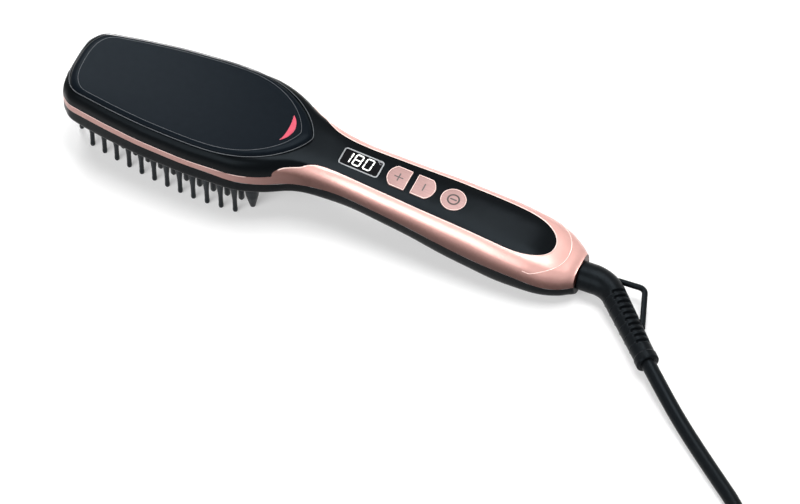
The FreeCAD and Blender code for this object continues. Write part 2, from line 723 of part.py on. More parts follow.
def pin_cap(x, y):
    """A round-ended cool tip pushed over a heated pin."""
    radius = s.cap_diameter / 2
    profile = [
        Vector(0, 0, s.cap_low),
        Vector(radius * 0.6, 0, s.cap_low + radius * 0.2),
        Vector(radius, 0, s.cap_low + radius),
        Vector(radius, 0, s.pin_reach + s.cap_overlap),
        Vector(0, 0, s.pin_reach + s.cap_overlap),
        Vector(0, 0, s.cap_low),
    ]
    solid = Part.Face(Part.makePolygon(profile)).revolve(Vector(), Vector(0, 0, 1), 360)
    taper = (s.pin_root - s.pin_tip) / 2 / (s.pad_top - s.pin_reach)
    socket = Part.makeCone(s.pin_tip / 2 + 0.02, s.pin_tip / 2 + 0.02 + taper * 6, 6, Vector(0, 0, s.pin_reach - 0.02))
    solid = solid.cut(socket)
    solid.translate(Vector(x, y, 0))
    return solid


feature("pin_caps", Part.makeCompound([pin_cap(x, y) for x, y in pin_places]))

pad_blank = outer.common(prism(pad_outline(s.fit), 0, s.pad_top - 0.05))
tray = prism(pad_outline(s.fit + 2.5), floor_top, DEEP)
pad_bosses = [cylinder(2.6, s.pad_top - 0.05 - floor_top + 0.5, x, y, floor_top - 0.5) for x, y in pad_screws]
pad_cuts = [cylinder(s.bristle_stem / 2 + 0.05, 20, x, y, 10) for x, y in outer_places]
pad_cuts += [cylinder(s.peg_stem / 2 + 0.05, 20, x, y, 10) for x, y in peg_places]
pad_cuts += [cylinder(s.pin_root / 2 + 0.15, 20, x, y, 10) for x, y in pin_places]
pad_cuts += [cylinder(0.95, 6.0, x, y, s.pad_top - 5.5) for x, y in pad_screws]
feature("bristle_pad", pad_blank.cut(tray).fuse(pad_bosses).cut(pad_cuts))

plate = prism(pad_outline(-s.plate_margin), s.pad_top, plate_top)
feature("heating_plate", plate.cut([cylinder(1.15, 10, x, y, s.pad_top - 2) for x, y in pad_screws]))
shank_low = s.pad_top - 5.0
pad_screw_set = [
    cylinder(1.8, 1.3, x, y, plate_top).fuse(cylinder(0.9, plate_top + 0.5 - shank_low, x, y, shank_low))
    for x, y in pad_screws
]
feature("pad_screws", Part.makeCompound(pad_screw_set))
heaters = []
for k, x in enumerate(heater_places):
    heaters.append(
        primitive(
            "Box",
            f"heater_{k}",
            at(x - s.heater_length * K / 2, -s.heater_width / 2, plate_top),
            Length="sizes.heater_length * sizes.brush_length / sizes.drawn_length",
            Width="sizes.heater_width",
            Height="sizes.heater_height",
        )
    )
keep(fuse("heaters", heaters), "heater_elements")
heater_top = plate_top + s.heater_height
film = slab(
    "film",
    "(sizes.heater_length * 2 + 12) * sizes.brush_length / sizes.drawn_length",
    "sizes.heater_width + 9",
    "sizes.sheet_thickness",
    at(middle, 0, heater_top),
)
keep(film, "insulation_sheet")
clamp = slab(
    "clamp",
    "(sizes.heater_length * 2 + 16) * sizes.brush_length / sizes.drawn_length",
    "sizes.heater_width + 7",
    "sizes.clamp_thickness",
    at(middle, 0, heater_top + s.sheet_thickness),
    "2 mm",
)
keep(clamp, "heater_clamp")
ALONG_Y = Rotation(Vector(1, 0, 0), 90)
sensor_place, fuse_place = at(middle, 4.0, plate_top + 1.2, ALONG_Y), at(middle - 6.0, 0, clamp_top + 2.0, TO_X)
keep(primitive("Cylinder", "sensor", sensor_place, Radius="1.2 mm", Height="8 mm"), "thermistor")
keep(primitive("Cylinder", "fuse_body", fuse_place, Radius="2 mm", Height="12 mm"), "thermal_fuse")


# ---------------------------------------------------------------- routed wires and cords
def route(points, widest_arc):
    """Wire through points: straight runs joined by tangent arcs."""
    edges = []
    start = points[0]
    for before, corner, after in zip(points, points[1:], points[2:]):
        back, ahead = before - corner, after - corner
        reach = 0.45 * min(back.Length, ahead.Length)
        back.normalize()
        ahead.normalize()
        half_turn = (math.pi - back.getAngle(ahead)) / 2
        radius = min(reach / math.tan(half_turn), widest_arc)
        setback = radius * math.tan(half_turn)
        inward = (back + ahead).normalize()
        first, last = corner + back * setback, corner + ahead * setback
        apex = corner + inward * (radius / math.cos(half_turn) - radius)
        edges.append(Part.LineSegment(start, first))
        edges.append(Part.Arc(first, apex, last))
        start = last
    edges.append(Part.LineSegment(start, points[-1]))
    return Part.Wire([e.toShape() for e in edges])


def tube(points, diameter, widest_arc=1000.0):
    """Round bar swept along a route."""
    circle = Part.Circle(points[0], points[1] - points[0], diameter / 2)
    return route(points, widest_arc).makePipeShell([Part.Wire([circle.toShape()])], True, False)


board_nose = PANEL.multiply(at(-6.0, 0, -s.board_depth - 0.8)).Base
board_tail = PANEL.multiply(at(s.board_length - 6.0, 0, -s.board_depth - 0.8)).Base
wire_diameter = 1.4
front_wires = []
for y in (-8.0, -5.5, 5.5, 8.0):
    heater_end = Vector(heater_places[1] + s.heater_length * K / 2 + 0.1, y * 0.75, plate_top + 2.2)
    rise = Vector(NECK - 33 * K, y, plate_top + 2.2)
    front_wires.append(tube([heater_end, rise, Vector(board_nose.x - 0.2, y, board_nose.z)], wire_diameter))
feature("heater_wires", Part.makeCompound(front_wires))

# ---------------------------------------------------------------- controls
board_mid = PANEL.multiply(at(s.board_length / 2 - 6.0, 0, -s.board_depth - s.board_thickness))
board = slab("board_blank", "sizes.board_length", "sizes.board_width", "sizes.board_thickness", board_mid, "1.5 mm")
board_holes = []
for k, (along, y) in enumerate(board_posts):
    place = PANEL.multiply(at(along, y, -s.board_depth - s.board_thickness - 1))
    board_holes.append(primitive("Cylinder", f"board_hole_{k}", place, Radius="0.95 mm", Height="4 mm"))
keep(cut("board", board, fuse("board_holes", board_holes)), "control_board")
board_screws = []
for k, (along, y) in enumerate(board_posts):
    place = PANEL.multiply(at(along, y, -s.board_depth - s.board_thickness - 1.15))
    board_screws.append(primitive("Cylinder", f"screw_head_{k}", place, Radius="1.7 mm", Height="1.1 mm"))
    board_screws.append(primitive("Cylinder", f"screw_shank_{k}", place, Radius="0.8 mm", Height="6.5 mm"))
keep(fuse("board_screw_set", board_screws), "board_screws")
under_board = -s.board_depth - s.board_thickness
relay_place = PANEL.multiply(at(22, -6, under_board - 6.5))
capacitor_place = PANEL.multiply(at(46, 0, under_board - 8))
controller_place = PANEL.multiply(at(4, -3.5, under_board - 1.4))
parts_under = [
    primitive("Box", "relay", relay_place, Length="15 mm", Width="12 mm", Height="6.5 mm"),
    primitive("Cylinder", "capacitor", capacitor_place, Radius="4 mm", Height="8 mm"),
    primitive("Box", "controller", controller_place, Length="7 mm", Width="7 mm", Height="1.4 mm"),
]
keep(fuse("power_parts", parts_under), "power_components")

display = slab(
    "display",
    "sizes.window_length - 2 * sizes.lens_step - 0.4",
    "sizes.window_width - 2 * sizes.lens_step - 0.4",
    "sizes.board_depth - sizes.window_depth - 0.1",
    on_panel(s.window_at, 0, -s.board_depth),
)
keep(display, "display_module")
ring_place = on_panel(s.window_at, 0, -s.window_depth)
lens = slab("lens", "sizes.window_length", "sizes.window_width", "sizes.window_depth - 0.3", ring_place, "0.9 mm")
keep(lens, "display_lens")
ring_outside = slab(
    "ring_outside",
    "sizes.window_length + 1.3",
    "sizes.window_width + 1.3",
    "sizes.window_depth - 0.15",
    ring_place,
    "1.5 mm",
)
ring_inside = slab(
    "ring_inside",
    "sizes.window_length + 0.1",
    "sizes.window_width + 0.1",
    "sizes.window_depth",
    ring_place,
    "0.95 mm",
)
keep(cut("window_ring", ring_outside, ring_inside), "display_frame")


def key(turn):
    """Cap, retaining flange and plunger of a temperature key."""
    cap = key_shape(0.0, -s.panel_wall - 0.4, s.key_stand, turn)
    top_face = max(cap.Faces, key=lambda f: f.CenterOfMass.z)
    cap = cap.makeFillet(0.35, top_face.Edges)
    flange = key_shape(s.flange, -s.panel_wall - 0.3 - s.flange_depth, -s.panel_wall - 0.3, turn)
    reach = -s.key_length / 2 if turn == 0 else s.key_length / 2
    plunger = cylinder(1.6, 1.5, reach, 0, -s.panel_wall - 0.3 - s.flange_depth - 1.2)
    return cap.fuse([flange, plunger]).removeSplitter()


feature("plus_key", on_deck(key(0), plus_x))
feature("minus_key", on_deck(key(180), minus_x))
round_cap = Part.makeCylinder(s.power_diameter / 2, s.panel_wall + 0.4 + s.key_stand, Vector(0, 0, -s.panel_wall - 0.4))
round_cap = round_cap.makeFillet(0.35, [max(round_cap.Edges, key=lambda e: e.CenterOfMass.z)])
round_flange = cylinder(s.power_diameter / 2 + s.flange, s.flange_depth, 0, 0, -s.panel_wall - 0.3 - s.flange_depth)
round_plunger = cylinder(1.6, 1.5, 0, 0, -s.panel_wall - 0.3 - s.flange_depth - 1.2)
feature("power_key", on_deck(round_cap.fuse([round_flange, round_plunger]).removeSplitter(), s.power_at))
switches = []
for name, x in (("plus", plus_x - s.key_length / 2), ("minus", minus_x + s.key_length / 2), ("power", s.power_at)):
    half = s.switch_size / 2
    place = on_panel(x, -half, -s.board_depth).multiply(at(-half, 0, 0))
    switches.append(
        primitive(
            "Box",
            name + "_switch",
            place,
            Length="sizes.switch_size",
            Width="sizes.switch_size",
            Height="sizes.board_depth - sizes.panel_wall - 3.0",
        )
    )
keep(fuse("switch_set", switches), "tact_switches")

# ---------------------------------------------------------------- swivelling cord outlet
AXIS = Vector(1, 0, 0)


def rod(radius, x0, x1):
    """Round bar on the swivel's axis."""
    return Part.makeCylinder(radius, x1 - x0, Vector(x0, 0, s.axis_height), AXIS)


journal = rod(s.journal_diameter / 2, END - 17.4, END + s.face_gap + 0.5)
collar_start = END + s.face_gap
bend_start = collar_start + 6.45
bend_radius = 18.0
turn = math.radians(s.relief_turn)
heading = Vector(math.cos(turn), -math.sin(turn), 0)
bend_end = Vector(bend_start + bend_radius * math.sin(turn), -bend_radius * (1 - math.cos(turn)), s.axis_height)
half_turn = turn / 2
bend_middle = Vector(
    bend_start + bend_radius * math.sin(half_turn), -bend_radius * (1 - math.cos(half_turn)), s.axis_height
)
corner_reach = bend_radius * math.tan(turn / 2)
corner = Vector(bend_start + corner_reach, 0, s.axis_height)
relief_end = corner + heading * s.relief_length


def disc(centre, direction, diameter):
    return Part.Wire([Part.Circle(centre, direction, diameter / 2).toShape()])


bend_path = Part.Wire([Part.Arc(Vector(bend_start, 0, s.axis_height), bend_middle, bend_end).toShape()])
bend_discs = [
    disc(Vector(bend_start, 0, s.axis_height), AXIS, s.relief_diameter),
    disc(bend_end, heading, s.relief_root),
]
bend = bend_path.makePipeShell(bend_discs, True, False)
straight = (relief_end - bend_end).Length
cone = Part.makeCone(s.relief_root / 2, s.relief_end / 2, straight, bend_end, heading)
slots = []
slot_count = 8
slot_pitch = (straight - 6.0) / slot_count
for k in range(slot_count):
    along = 3.2 + slot_pitch * k
    centre = bend_end + heading * along
    radius = s.relief_root / 2 + (s.relief_end - s.relief_root) / 2 * along / straight
    wide = Part.makeCylinder(radius + 2, slot_pitch * 0.38, centre, heading)
    slots.append(wide.cut(Part.makeCylinder(radius - 1.1, slot_pitch * 0.38, centre, heading)))
end_cuff = Part.makeCylinder(s.relief_end / 2 + 0.35, 2.6, relief_end - heading * 2.6, heading)
relief = journal.fuse([rod(s.relief_diameter / 2, collar_start, bend_start), bend, cone.cut(slots), end_cuff])
feature("strain_relief", relief.removeSplitter())
ring_bore = s.journal_diameter / 2 + 0.02
ring_starts, ring_length = (END - 16.0, END - 11.0), 2.5
slip_rings = [rod(5.6, x, x + ring_length).cut(rod(ring_bore, x - 1, x + 4)) for x in ring_starts]
feature("slip_rings", Part.makeCompound(slip_rings))
circlip = rod(5.65, END - 5.6, END - 4.3).cut(rod(ring_bore, END - 7, END - 3))
circlip.rotate(Vector(END, 0, s.axis_height), AXIS, 40)
feature("retaining_ring", circlip)
loop_points = [
    Vector(END + 17.5, 3.6, s.axis_height),
    Vector(END + 31.4, 4.2, s.axis_height),
    Vector(END + 39.6, -17.8, s.axis_height),
]
loop_rod = tube(loop_points, s.loop_diameter, 4.0)
feature("hanging_loop", max(loop_rod.cut(relief).Solids, key=lambda piece: piece.Volume))

holder = inner.common(block(END - 18.0, END - 7.0, 8.5, 0, s.axis_height + 5.65))
feature("contact_holder", holder.cut(block(END - 20, END, 6.4, 3.3, 40)))
spring_low = s.axis_height + 5.7
springs = [block(x, x + ring_length, 8.4, spring_low, spring_low + 0.4) for x in ring_starts]
feature("contact_springs", Part.makeCompound(springs))
supply = []
for side in (-1, 1):
    supply.append(
        tube(
            [
                Vector(END - 18.6, side * 7.2, 12.5),
                Vector(END - 18.1 - (END - 18.1 - board_tail.x) * 0.4, side * 6.8, 18.5),
                Vector(board_tail.x + 0.2, side * 5.0, board_tail.z),
            ],
            2.0,
        )
    )
feature("supply_wires", Part.makeCompound(supply))

# ---------------------------------------------------------------- mains cord and plug
coil_centre = Vector(END + 88.3, -175.0, 0.6)
cord_start = relief_end + heading * s.face_gap
cord_points = [
    cord_start,
    Vector(END + 62.4, -46.4, 8.3),
    Vector(END + 78.0, -59.3, 5.4),
    Vector(END + 97.8, -74.6, 3.9),
    Vector(END + 132.5, -101.2, 3.8),
    Vector(END + 132.4, -148.0, 4.3),
    Vector(END + 132.0, -172.0, 4.5),
]
feature("cord_tube", tube(cord_points, s.cord_diameter))

columns, rows = 3, 2
cell_w, cell_h = s.coil_band / columns, s.coil_height / rows
valley = 1.5
half_band, high = s.coil_band / 2, s.coil_height
notches = [
    (-half_band + valley, high / 2),
    (-cell_w / 2, valley),
    (cell_w / 2, valley),
    (half_band - valley, high / 2),
    (cell_w / 2, high - valley),
    (-cell_w / 2, high - valley),
]
bend_out = cell_w * 0.354
humps = [
    (-half_band + cell_w / 2 - bend_out, cell_h / 2 - bend_out),
    (0, 0),
    (half_band - cell_w / 2 + bend_out, cell_h / 2 - bend_out),
    (half_band - cell_w / 2 + bend_out, high - cell_h / 2 + bend_out),
    (0, high),
    (-half_band + cell_w / 2 - bend_out, high - cell_h / 2 + bend_out),
]
ring_edges = []
for k in range(6):
    ends = [notches[k], notches[(k + 1) % 6]]
    a, b, c = [Vector(s.coil_radius + r, 0, z) for r, z in (ends[0], humps[k], ends[1])]
    ring_edges.append(Part.Arc(a, b, c).toShape())
coil = Part.Face(Part.Wire(ring_edges)).revolve(Vector(), Vector(0, 0, 1), 360)
coil.translate(coil_centre)
feature("cord_coil", coil)
tie_x = coil_centre.x - s.coil_radius
tie_low, tie_wall, tie_width, tie_gap = 0.02, 0.5, 9.0, 0.5
tie_span, tie_rise = s.coil_band + 2 * tie_gap, s.coil_height + 0.15
tie_outside = Part.makeBox(
    tie_span + 2 * tie_wall,
    tie_width,
    tie_rise + 2 * tie_wall,
    Vector(tie_x - tie_span / 2 - tie_wall, coil_centre.y - tie_width / 2, tie_low),
)
tie_inside = Part.makeBox(
    tie_span, tie_width + 2, tie_rise, Vector(tie_x - tie_span / 2, coil_centre.y - tie_width / 2 - 1, tie_low + tie_wall)
)
tie_corners = [e for e in tie_outside.Edges if abs(e.tangentAt(e.FirstParameter).y) > 0.9]
hole_corners = [e for e in tie_inside.Edges if abs(e.tangentAt(e.FirstParameter).y) > 0.9]
feature("cord_tie", tie_outside.makeFillet(2.2, tie_corners).cut(tie_inside.makeFillet(1.6, hole_corners)))

plug_rear = Vector(coil_centre.x - 76, coil_centre.y - 27, s.plug_height / 2 + 0.02)
on_top, beside = s.coil_height + 3.65, s.coil_radius * 0.577
tail_points = [
    coil_centre + Vector(-s.coil_radius * 0.866, s.coil_radius * 0.5, on_top),
    coil_centre + Vector(-beside, s.coil_radius, on_top),
    coil_centre + Vector(beside, s.coil_radius, on_top),
    coil_centre + Vector(s.coil_radius * 1.155, 0, on_top),
    coil_centre + Vector(beside, -s.coil_radius, on_top),
    coil_centre + Vector(-17, -36.6, on_top),
    coil_centre + Vector(-42, -29.5, on_top - 1.25),
    coil_centre + Vector(-62, -27, 8.0),
    plug_rear + Vector(s.face_gap + 0.1, 0, 0),
]
feature("cord_tail", tube(tail_points, s.cord_diameter))
keep(
    slab(
        "plug_block",
        "sizes.plug_length",
        "sizes.plug_width",
        "sizes.plug_height",
        at(plug_rear.x - s.plug_length / 2, plug_rear.y, 0.02),
        "8 mm",
        "3 mm",
    ),
    "plug_body",
)
pins_out = []
for k, side in enumerate((-1, 1)):
    root = plug_rear + Vector(-s.plug_length, side * s.pin_spacing / 2, 0)
    place = Placement(root, Rotation(Vector(0, 1, 0), -90))
    pins_out.append(primitive("Cylinder", f"prong_{k}", place, Radius="sizes.pin_diameter / 2", Height="sizes.pin_length"))
keep(fuse("prongs", pins_out), "plug_pins")

# ---------------------------------------------------------------- check and export
doc.recompute()
for obj in doc.Objects:
    if "Invalid" in obj.State or "Error" in obj.State:
        raise RuntimeError(f"{obj.Name} failed: {obj.State}")
for piece in pieces:
    if piece.Shape.isNull() or not piece.Shape.isValid():
        raise RuntimeError(f"{piece.Label} has no valid shape")
    piece.Shape.exportStep(f"parts/{piece.Label}.step")
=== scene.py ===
import json
import math

import bpy
import numpy as np
from mathutils import Matrix, Vector


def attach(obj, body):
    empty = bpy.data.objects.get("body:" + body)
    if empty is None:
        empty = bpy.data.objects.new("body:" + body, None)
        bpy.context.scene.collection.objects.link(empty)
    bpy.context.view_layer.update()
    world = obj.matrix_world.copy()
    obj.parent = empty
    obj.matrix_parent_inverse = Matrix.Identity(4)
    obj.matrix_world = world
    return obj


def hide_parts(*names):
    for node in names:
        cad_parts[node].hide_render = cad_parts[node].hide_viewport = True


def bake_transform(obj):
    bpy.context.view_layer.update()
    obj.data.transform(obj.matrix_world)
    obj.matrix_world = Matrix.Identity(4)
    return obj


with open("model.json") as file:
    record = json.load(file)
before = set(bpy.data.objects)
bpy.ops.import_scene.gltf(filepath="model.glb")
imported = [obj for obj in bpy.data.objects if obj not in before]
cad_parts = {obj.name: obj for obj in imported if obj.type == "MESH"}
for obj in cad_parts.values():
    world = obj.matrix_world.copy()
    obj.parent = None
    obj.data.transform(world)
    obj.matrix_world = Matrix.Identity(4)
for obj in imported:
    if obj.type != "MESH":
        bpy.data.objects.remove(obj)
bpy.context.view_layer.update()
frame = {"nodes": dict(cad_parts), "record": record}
NODES = frame["nodes"]
MM = 0.001

# ---------------------------------------------------------------- camera
ELEVATION, AZIMUTH, ROLL = map(math.radians, (52.4, 26.8, 2.8))
PIXELS_PER_MM, IMAGE_WIDTH = 2.1, 800.0
MIDDLE_POINT, AIM_RIGHT, AIM_DOWN = (2.7, 0, 40), 70, 102
DISTANCE = 7.0


def camera_axes():
    """Right, up and backward unit vectors: level axes at the azimuth and elevation, then rolled."""
    sin_a, cos_a, sin_e, cos_e = math.sin(AZIMUTH), math.cos(AZIMUTH), math.sin(ELEVATION), math.cos(ELEVATION)
    right = Vector((cos_a, sin_a, 0))
    up = Vector((-sin_e * sin_a, sin_e * cos_a, cos_e))
    sin_r, cos_r = math.sin(ROLL), math.cos(ROLL)
    return right * cos_r - up * sin_r, right * sin_r + up * cos_r, right.cross(up)


def make_camera():
    """Long lens that looks at the brush; its aim is given in image pixels from a point near the brush's middle."""
    right, up, back = camera_axes()
    aim = Vector(MIDDLE_POINT) + (right * AIM_RIGHT - up * AIM_DOWN) / PIXELS_PER_MM
    data = bpy.data.cameras.new("view")
    data.sensor_width = 36
    data.lens = data.sensor_width * DISTANCE / (IMAGE_WIDTH / PIXELS_PER_MM * MM)
    data.clip_end = 50
    camera = bpy.data.objects.new("view", data)
    turn = Matrix((right, up, back)).transposed().to_4x4()
    camera.matrix_world = Matrix.Translation(aim * MM + back * DISTANCE) @ turn
    bpy.context.scene.collection.objects.link(camera)
    bpy.context.scene.camera = camera


make_camera()


# ---------------------------------------------------------------- mesh helpers
LINE_SIDES = 8


def new_mesh(name, points, faces, smooth=True):
    """Object from an array of points in millimetres and a list or array of faces."""
    mesh = bpy.data.meshes.new(name)
    faces = [block.tolist() if isinstance(block, np.ndarray) else block for block in faces]
    mesh.from_pydata((np.asarray(points, float) * MM).tolist(), [], sum(faces, []))
    mesh.polygons.foreach_set("use_smooth", [smooth] * len(mesh.polygons))
    mesh.validate()
    mesh.update()
    piece = bpy.data.objects.new(name, mesh)
    bpy.context.scene.collection.objects.link(piece)
    return piece


def grid_faces(rows, columns, wrap_rows=False):
    """Quads of a rows by columns grid whose last column joins the first; wrap_rows joins the last row too."""
    i = np.arange(rows if wrap_rows else rows - 1)[:, None]
    j = np.arange(columns)[None, :]
    ahead, beside = (i + 1) % rows, (j + 1) % columns
    quads = np.stack([i * columns + j, i * columns + beside, ahead * columns + beside, ahead * columns + j], -1)
    return quads.reshape(-1, 4)


def fan(first, columns, pole, inward):
    """Triangles from one ring of a grid to a pole point."""
    j = np.arange(columns)
    a, b = first + j, first + (j + 1) % columns
    return np.stack([b, a, np.full(columns, pole)] if inward else [a, b, np.full(columns, pole)], -1)


def lathe(name, rings, start, finish):
    """Closed surface through an array of rings (rows, columns, 3) with a pole point at each end."""
    rows, columns = rings.shape[:2]
    points = np.concatenate([rings.reshape(-1, 3), [start, finish]])
    count = rows * columns
    faces = [grid_faces(rows, columns), fan(0, columns, count, True), fan(count - columns, columns, count + 1, False)]
    return new_mesh(name, points, faces)


def swept(line, radius, sides, closed=False, bulge=None):
    """Rings round a line: circles square to it, angles counted from the level; bulge (row, angle) is added radius."""
    ahead = np.roll(line, -1, 0) - np.roll(line, 1, 0) if closed else np.gradient(line, axis=0)
    ahead /= np.linalg.norm(ahead, axis=1)[:, None]
    side = np.cross((0.0, 0.0, 1.0), ahead)
    side /= np.linalg.norm(side, axis=1)[:, None]
    upward = np.cross(ahead, side)
    angle = np.linspace(0, 2 * np.pi, sides, endpoint=False)
    reach = np.broadcast_to(np.asarray(radius, float).reshape(-1, 1), (len(line), 1)) + (0 if bulge is None else bulge)
    circle = np.cos(angle)[None, :, None] * side[:, None] + np.sin(angle)[None, :, None] * upward[:, None]
    return line[:, None] + reach[..., None] * circle


def at_height(outline, height):
    """Points (x, y) of an outline, all set at one height."""
    return np.c_[outline, np.full(len(outline), height)]


def loop_line(name, line, radius):
    """Thin bead of circles swept along a closed line."""
    rings = swept(line, radius, LINE_SIDES, closed=True)
    return new_mesh(name, rings.reshape(-1, 3), [grid_faces(len(line), LINE_SIDES, True)])


def open_line(name, line, radius):
    """Thin bead of circles swept along an open line, with its ends closed."""
    return lathe(name, swept(line, radius, LINE_SIDES), line[0], line[-1])


# ---------------------------------------------------------------- finishes
BLUISH = (0.72, 0.88, 1.0, 1)
# over the head, from these x places on, the painted shade of the rose trim keeps at least this share of its own tint
HEAD_STARTS, HEAD_FULL, HEAD_SHARE = 0.0, -0.05, 0.5
BUMP_DEPTH = 0.0002
WELD_DISTANCE, SHARP_ANGLE = 2e-6, math.radians(28)


def map_range(tree, value, start, stop, low=0.0, high=1.0):
    """Value carried linearly from start..stop to low..high."""
    node = tree.nodes.new("ShaderNodeMapRange")
    numbers = {"From Min": start, "From Max": stop, "To Min": low, "To Max": high}
    for socket, number in numbers.items():
        node.inputs[socket].default_value = number
    tree.links.new(value, node.inputs["Value"])
    return node


def larger(tree, first, second):
    """The larger one of two values."""
    node = tree.nodes.new("ShaderNodeMath")
    node.operation = "MAXIMUM"
    tree.links.new(first, node.inputs[0])
    tree.links.new(second, node.inputs[1])
    return node.outputs[0]


def part_of(tree, vector, axis):
    """One component of a vector output."""
    node = tree.nodes.new("ShaderNodeSeparateXYZ")
    tree.links.new(vector, node.inputs[0])
    return node.outputs[axis]


def paint_shade_by_slope(tree, tint, place, colour, low, high):
    """Painted shade: the tint turns to a dark colour as a face's normal rises less, from high to low, and less so on
    the head.
    """
    look = tree.nodes.new("ShaderNodeNewGeometry")
    slope = map_range(tree, part_of(tree, look.outputs["Normal"], "Z"), low, high)
    slope.interpolation_type = "SMOOTHSTEP"
    along = part_of(tree, place.outputs["Object"], "X")
    head = map_range(tree, along, HEAD_STARTS, HEAD_FULL, 0.0, HEAD_SHARE)
    mix = tree.nodes.new("ShaderNodeMix")
    mix.data_type = "RGBA"
    mix.inputs["A"].default_value = (*colour, 1)
    tree.links.new(larger(tree, slope.outputs["Result"], head.outputs["Result"]), mix.inputs["Factor"])
    tree.links.new(tint, mix.inputs["B"])
    return mix.outputs["Result"]


def material(
    name, colour, shade, rough=(0.4, 0.5), metallic=0.0, grain=(300.0, 300.0, 300.0), bump=0.05, painted_shade=None, **sockets
):
    """Principled finish whose colour and roughness drift by noise; painted_shade is what paint_shade_by_slope takes,
    for a painted shade where faces turn down.
    """
    made = bpy.data.materials.new(name)
    made.use_nodes = True
    tree = made.node_tree
    shader = tree.nodes["Principled BSDF"]
    place = tree.nodes.new("ShaderNodeTexCoord")
    mapping = tree.nodes.new("ShaderNodeMapping")
    mapping.inputs["Scale"].default_value = grain
    tree.links.new(place.outputs["Object"], mapping.inputs["Vector"])
    fine = tree.nodes.new("ShaderNodeTexNoise")
    fine.inputs["Scale"].default_value = 1.0
    fine.inputs["Detail"].default_value = 3.0
    tree.links.new(mapping.outputs["Vector"], fine.inputs["Vector"])
    ramp = tree.nodes.new("ShaderNodeValToRGB")
    for stop, position, tone in zip(ramp.color_ramp.elements, (0.3, 0.7), (colour, shade)):
        stop.position, stop.color = position, (*tone, 1)
    tree.links.new(fine.outputs["Fac"], ramp.inputs["Fac"])
    tint = ramp.outputs["Color"]
    if painted_shade:
        tint = paint_shade_by_slope(tree, tint, place, *painted_shade)
    tree.links.new(tint, shader.inputs["Base Color"])
    gloss = map_range(tree, fine.outputs["Fac"], 0.0, 1.0, *rough)
    tree.links.new(gloss.outputs["Result"], shader.inputs["Roughness"])
    relief = tree.nodes.new("ShaderNodeBump")
    relief.inputs["Strength"].default_value = bump
    relief.inputs["Distance"].default_value = BUMP_DEPTH
    tree.links.new(fine.outputs["Fac"], relief.inputs["Height"])
    tree.links.new(relief.outputs["Normal"], shader.inputs["Normal"])
    shader.inputs["Metallic"].default_value = metallic
    for socket, value in sockets.items():
        shader.inputs[socket.replace("_", " ")].default_value = value
    return made


def dark(name, colour, shade, rough, level, bump=0.02):
    """Black or slate finish with a faint, bluish reflection."""
    return material(name, colour, shade, rough, bump=bump, Specular_IOR_Level=level, Specular_Tint=BLUISH)


def painted(name, colour, shade, rough=(0.4, 0.5), metallic=0.0, bump=0.0, **sockets):
    """Finish of a small printed, lit or inlaid piece."""
    return material(name, colour, shade, rough, metallic, bump=bump, **sockets)


slate = dark("slate lacquer", (0.0036, 0.0055, 0.0080), (0.0030, 0.0047, 0.0070), (0.28, 0.33), 0.03)
black = dark("satin black moulding", (0.0016, 0.0020, 0.0025), (0.0013, 0.0017, 0.0021), (0.26, 0.32), 0.05)
# rose trim with painted shade: its tint turns dark brown where its faces turn down or sideways
rose = material(
    "rose gold lacquer", (0.68, 0.385, 0.345), (0.66, 0.37, 0.33), (0.34, 0.38), 0.5, bump=0.02,
    painted_shade=((0.07, 0.022, 0.015), -0.05, 0.72),
)
rose_brushed = material(
    "brushed rose gold", (0.26, 0.150, 0.140), (0.22, 0.125, 0.115), (0.34, 0.44), 0.3, (260.0, 1900.0, 300.0), 0.1
)
# pale rose for thin beads on edges: painted highlight
painted_rose_highlight = painted("pale rose painted highlight", (0.88, 0.66, 0.61), (0.84, 0.61, 0.56), (0.3, 0.4), 0.2)
bristle = dark("black nylon", (0.005, 0.006, 0.007), (0.007, 0.008, 0.010), (0.3, 0.42), 0.2, 0.03)
rubber = dark("black cord rubber", (0.0028, 0.0034, 0.0040), (0.0040, 0.0047, 0.0056), (0.3, 0.4), 0.06, 0.05)
ceramic = material("dark ceramic coating", (0.06, 0.056, 0.052), (0.085, 0.08, 0.075), (0.3, 0.45), 0.6)
pale_ceramic = material("pale ceramic", (0.75, 0.72, 0.66), (0.65, 0.62, 0.57), (0.6, 0.75))
film = material("amber film", (0.55, 0.27, 0.05), (0.45, 0.2, 0.04), (0.2, 0.3))
steel = material("rolled steel", (0.5, 0.5, 0.52), (0.42, 0.42, 0.44), (0.25, 0.4), 1.0, (40.0, 1500.0, 300.0))
brass = material("brass", (0.75, 0.55, 0.22), (0.65, 0.46, 0.17), (0.2, 0.35), 1.0)
laminate = material("green laminate", (0.02, 0.12, 0.05), (0.015, 0.09, 0.04), (0.3, 0.4))
wiring = material("red wire sleeve", (0.45, 0.04, 0.03), (0.35, 0.03, 0.02))
white_mould = material("white moulding", (0.7, 0.7, 0.68), (0.62, 0.62, 0.6), (0.45, 0.55))
glass = painted("black window", (0.002, 0.002, 0.003), (0.003, 0.003, 0.004), (0.08, 0.12), Specular_IOR_Level=0.1)
rim_grey = material("pale grey frame", (0.24, 0.25, 0.26), (0.20, 0.21, 0.22), (0.35, 0.45), 0.2)
seam_grey = painted("grey parting line", (0.20, 0.19, 0.19), (0.16, 0.15, 0.15))
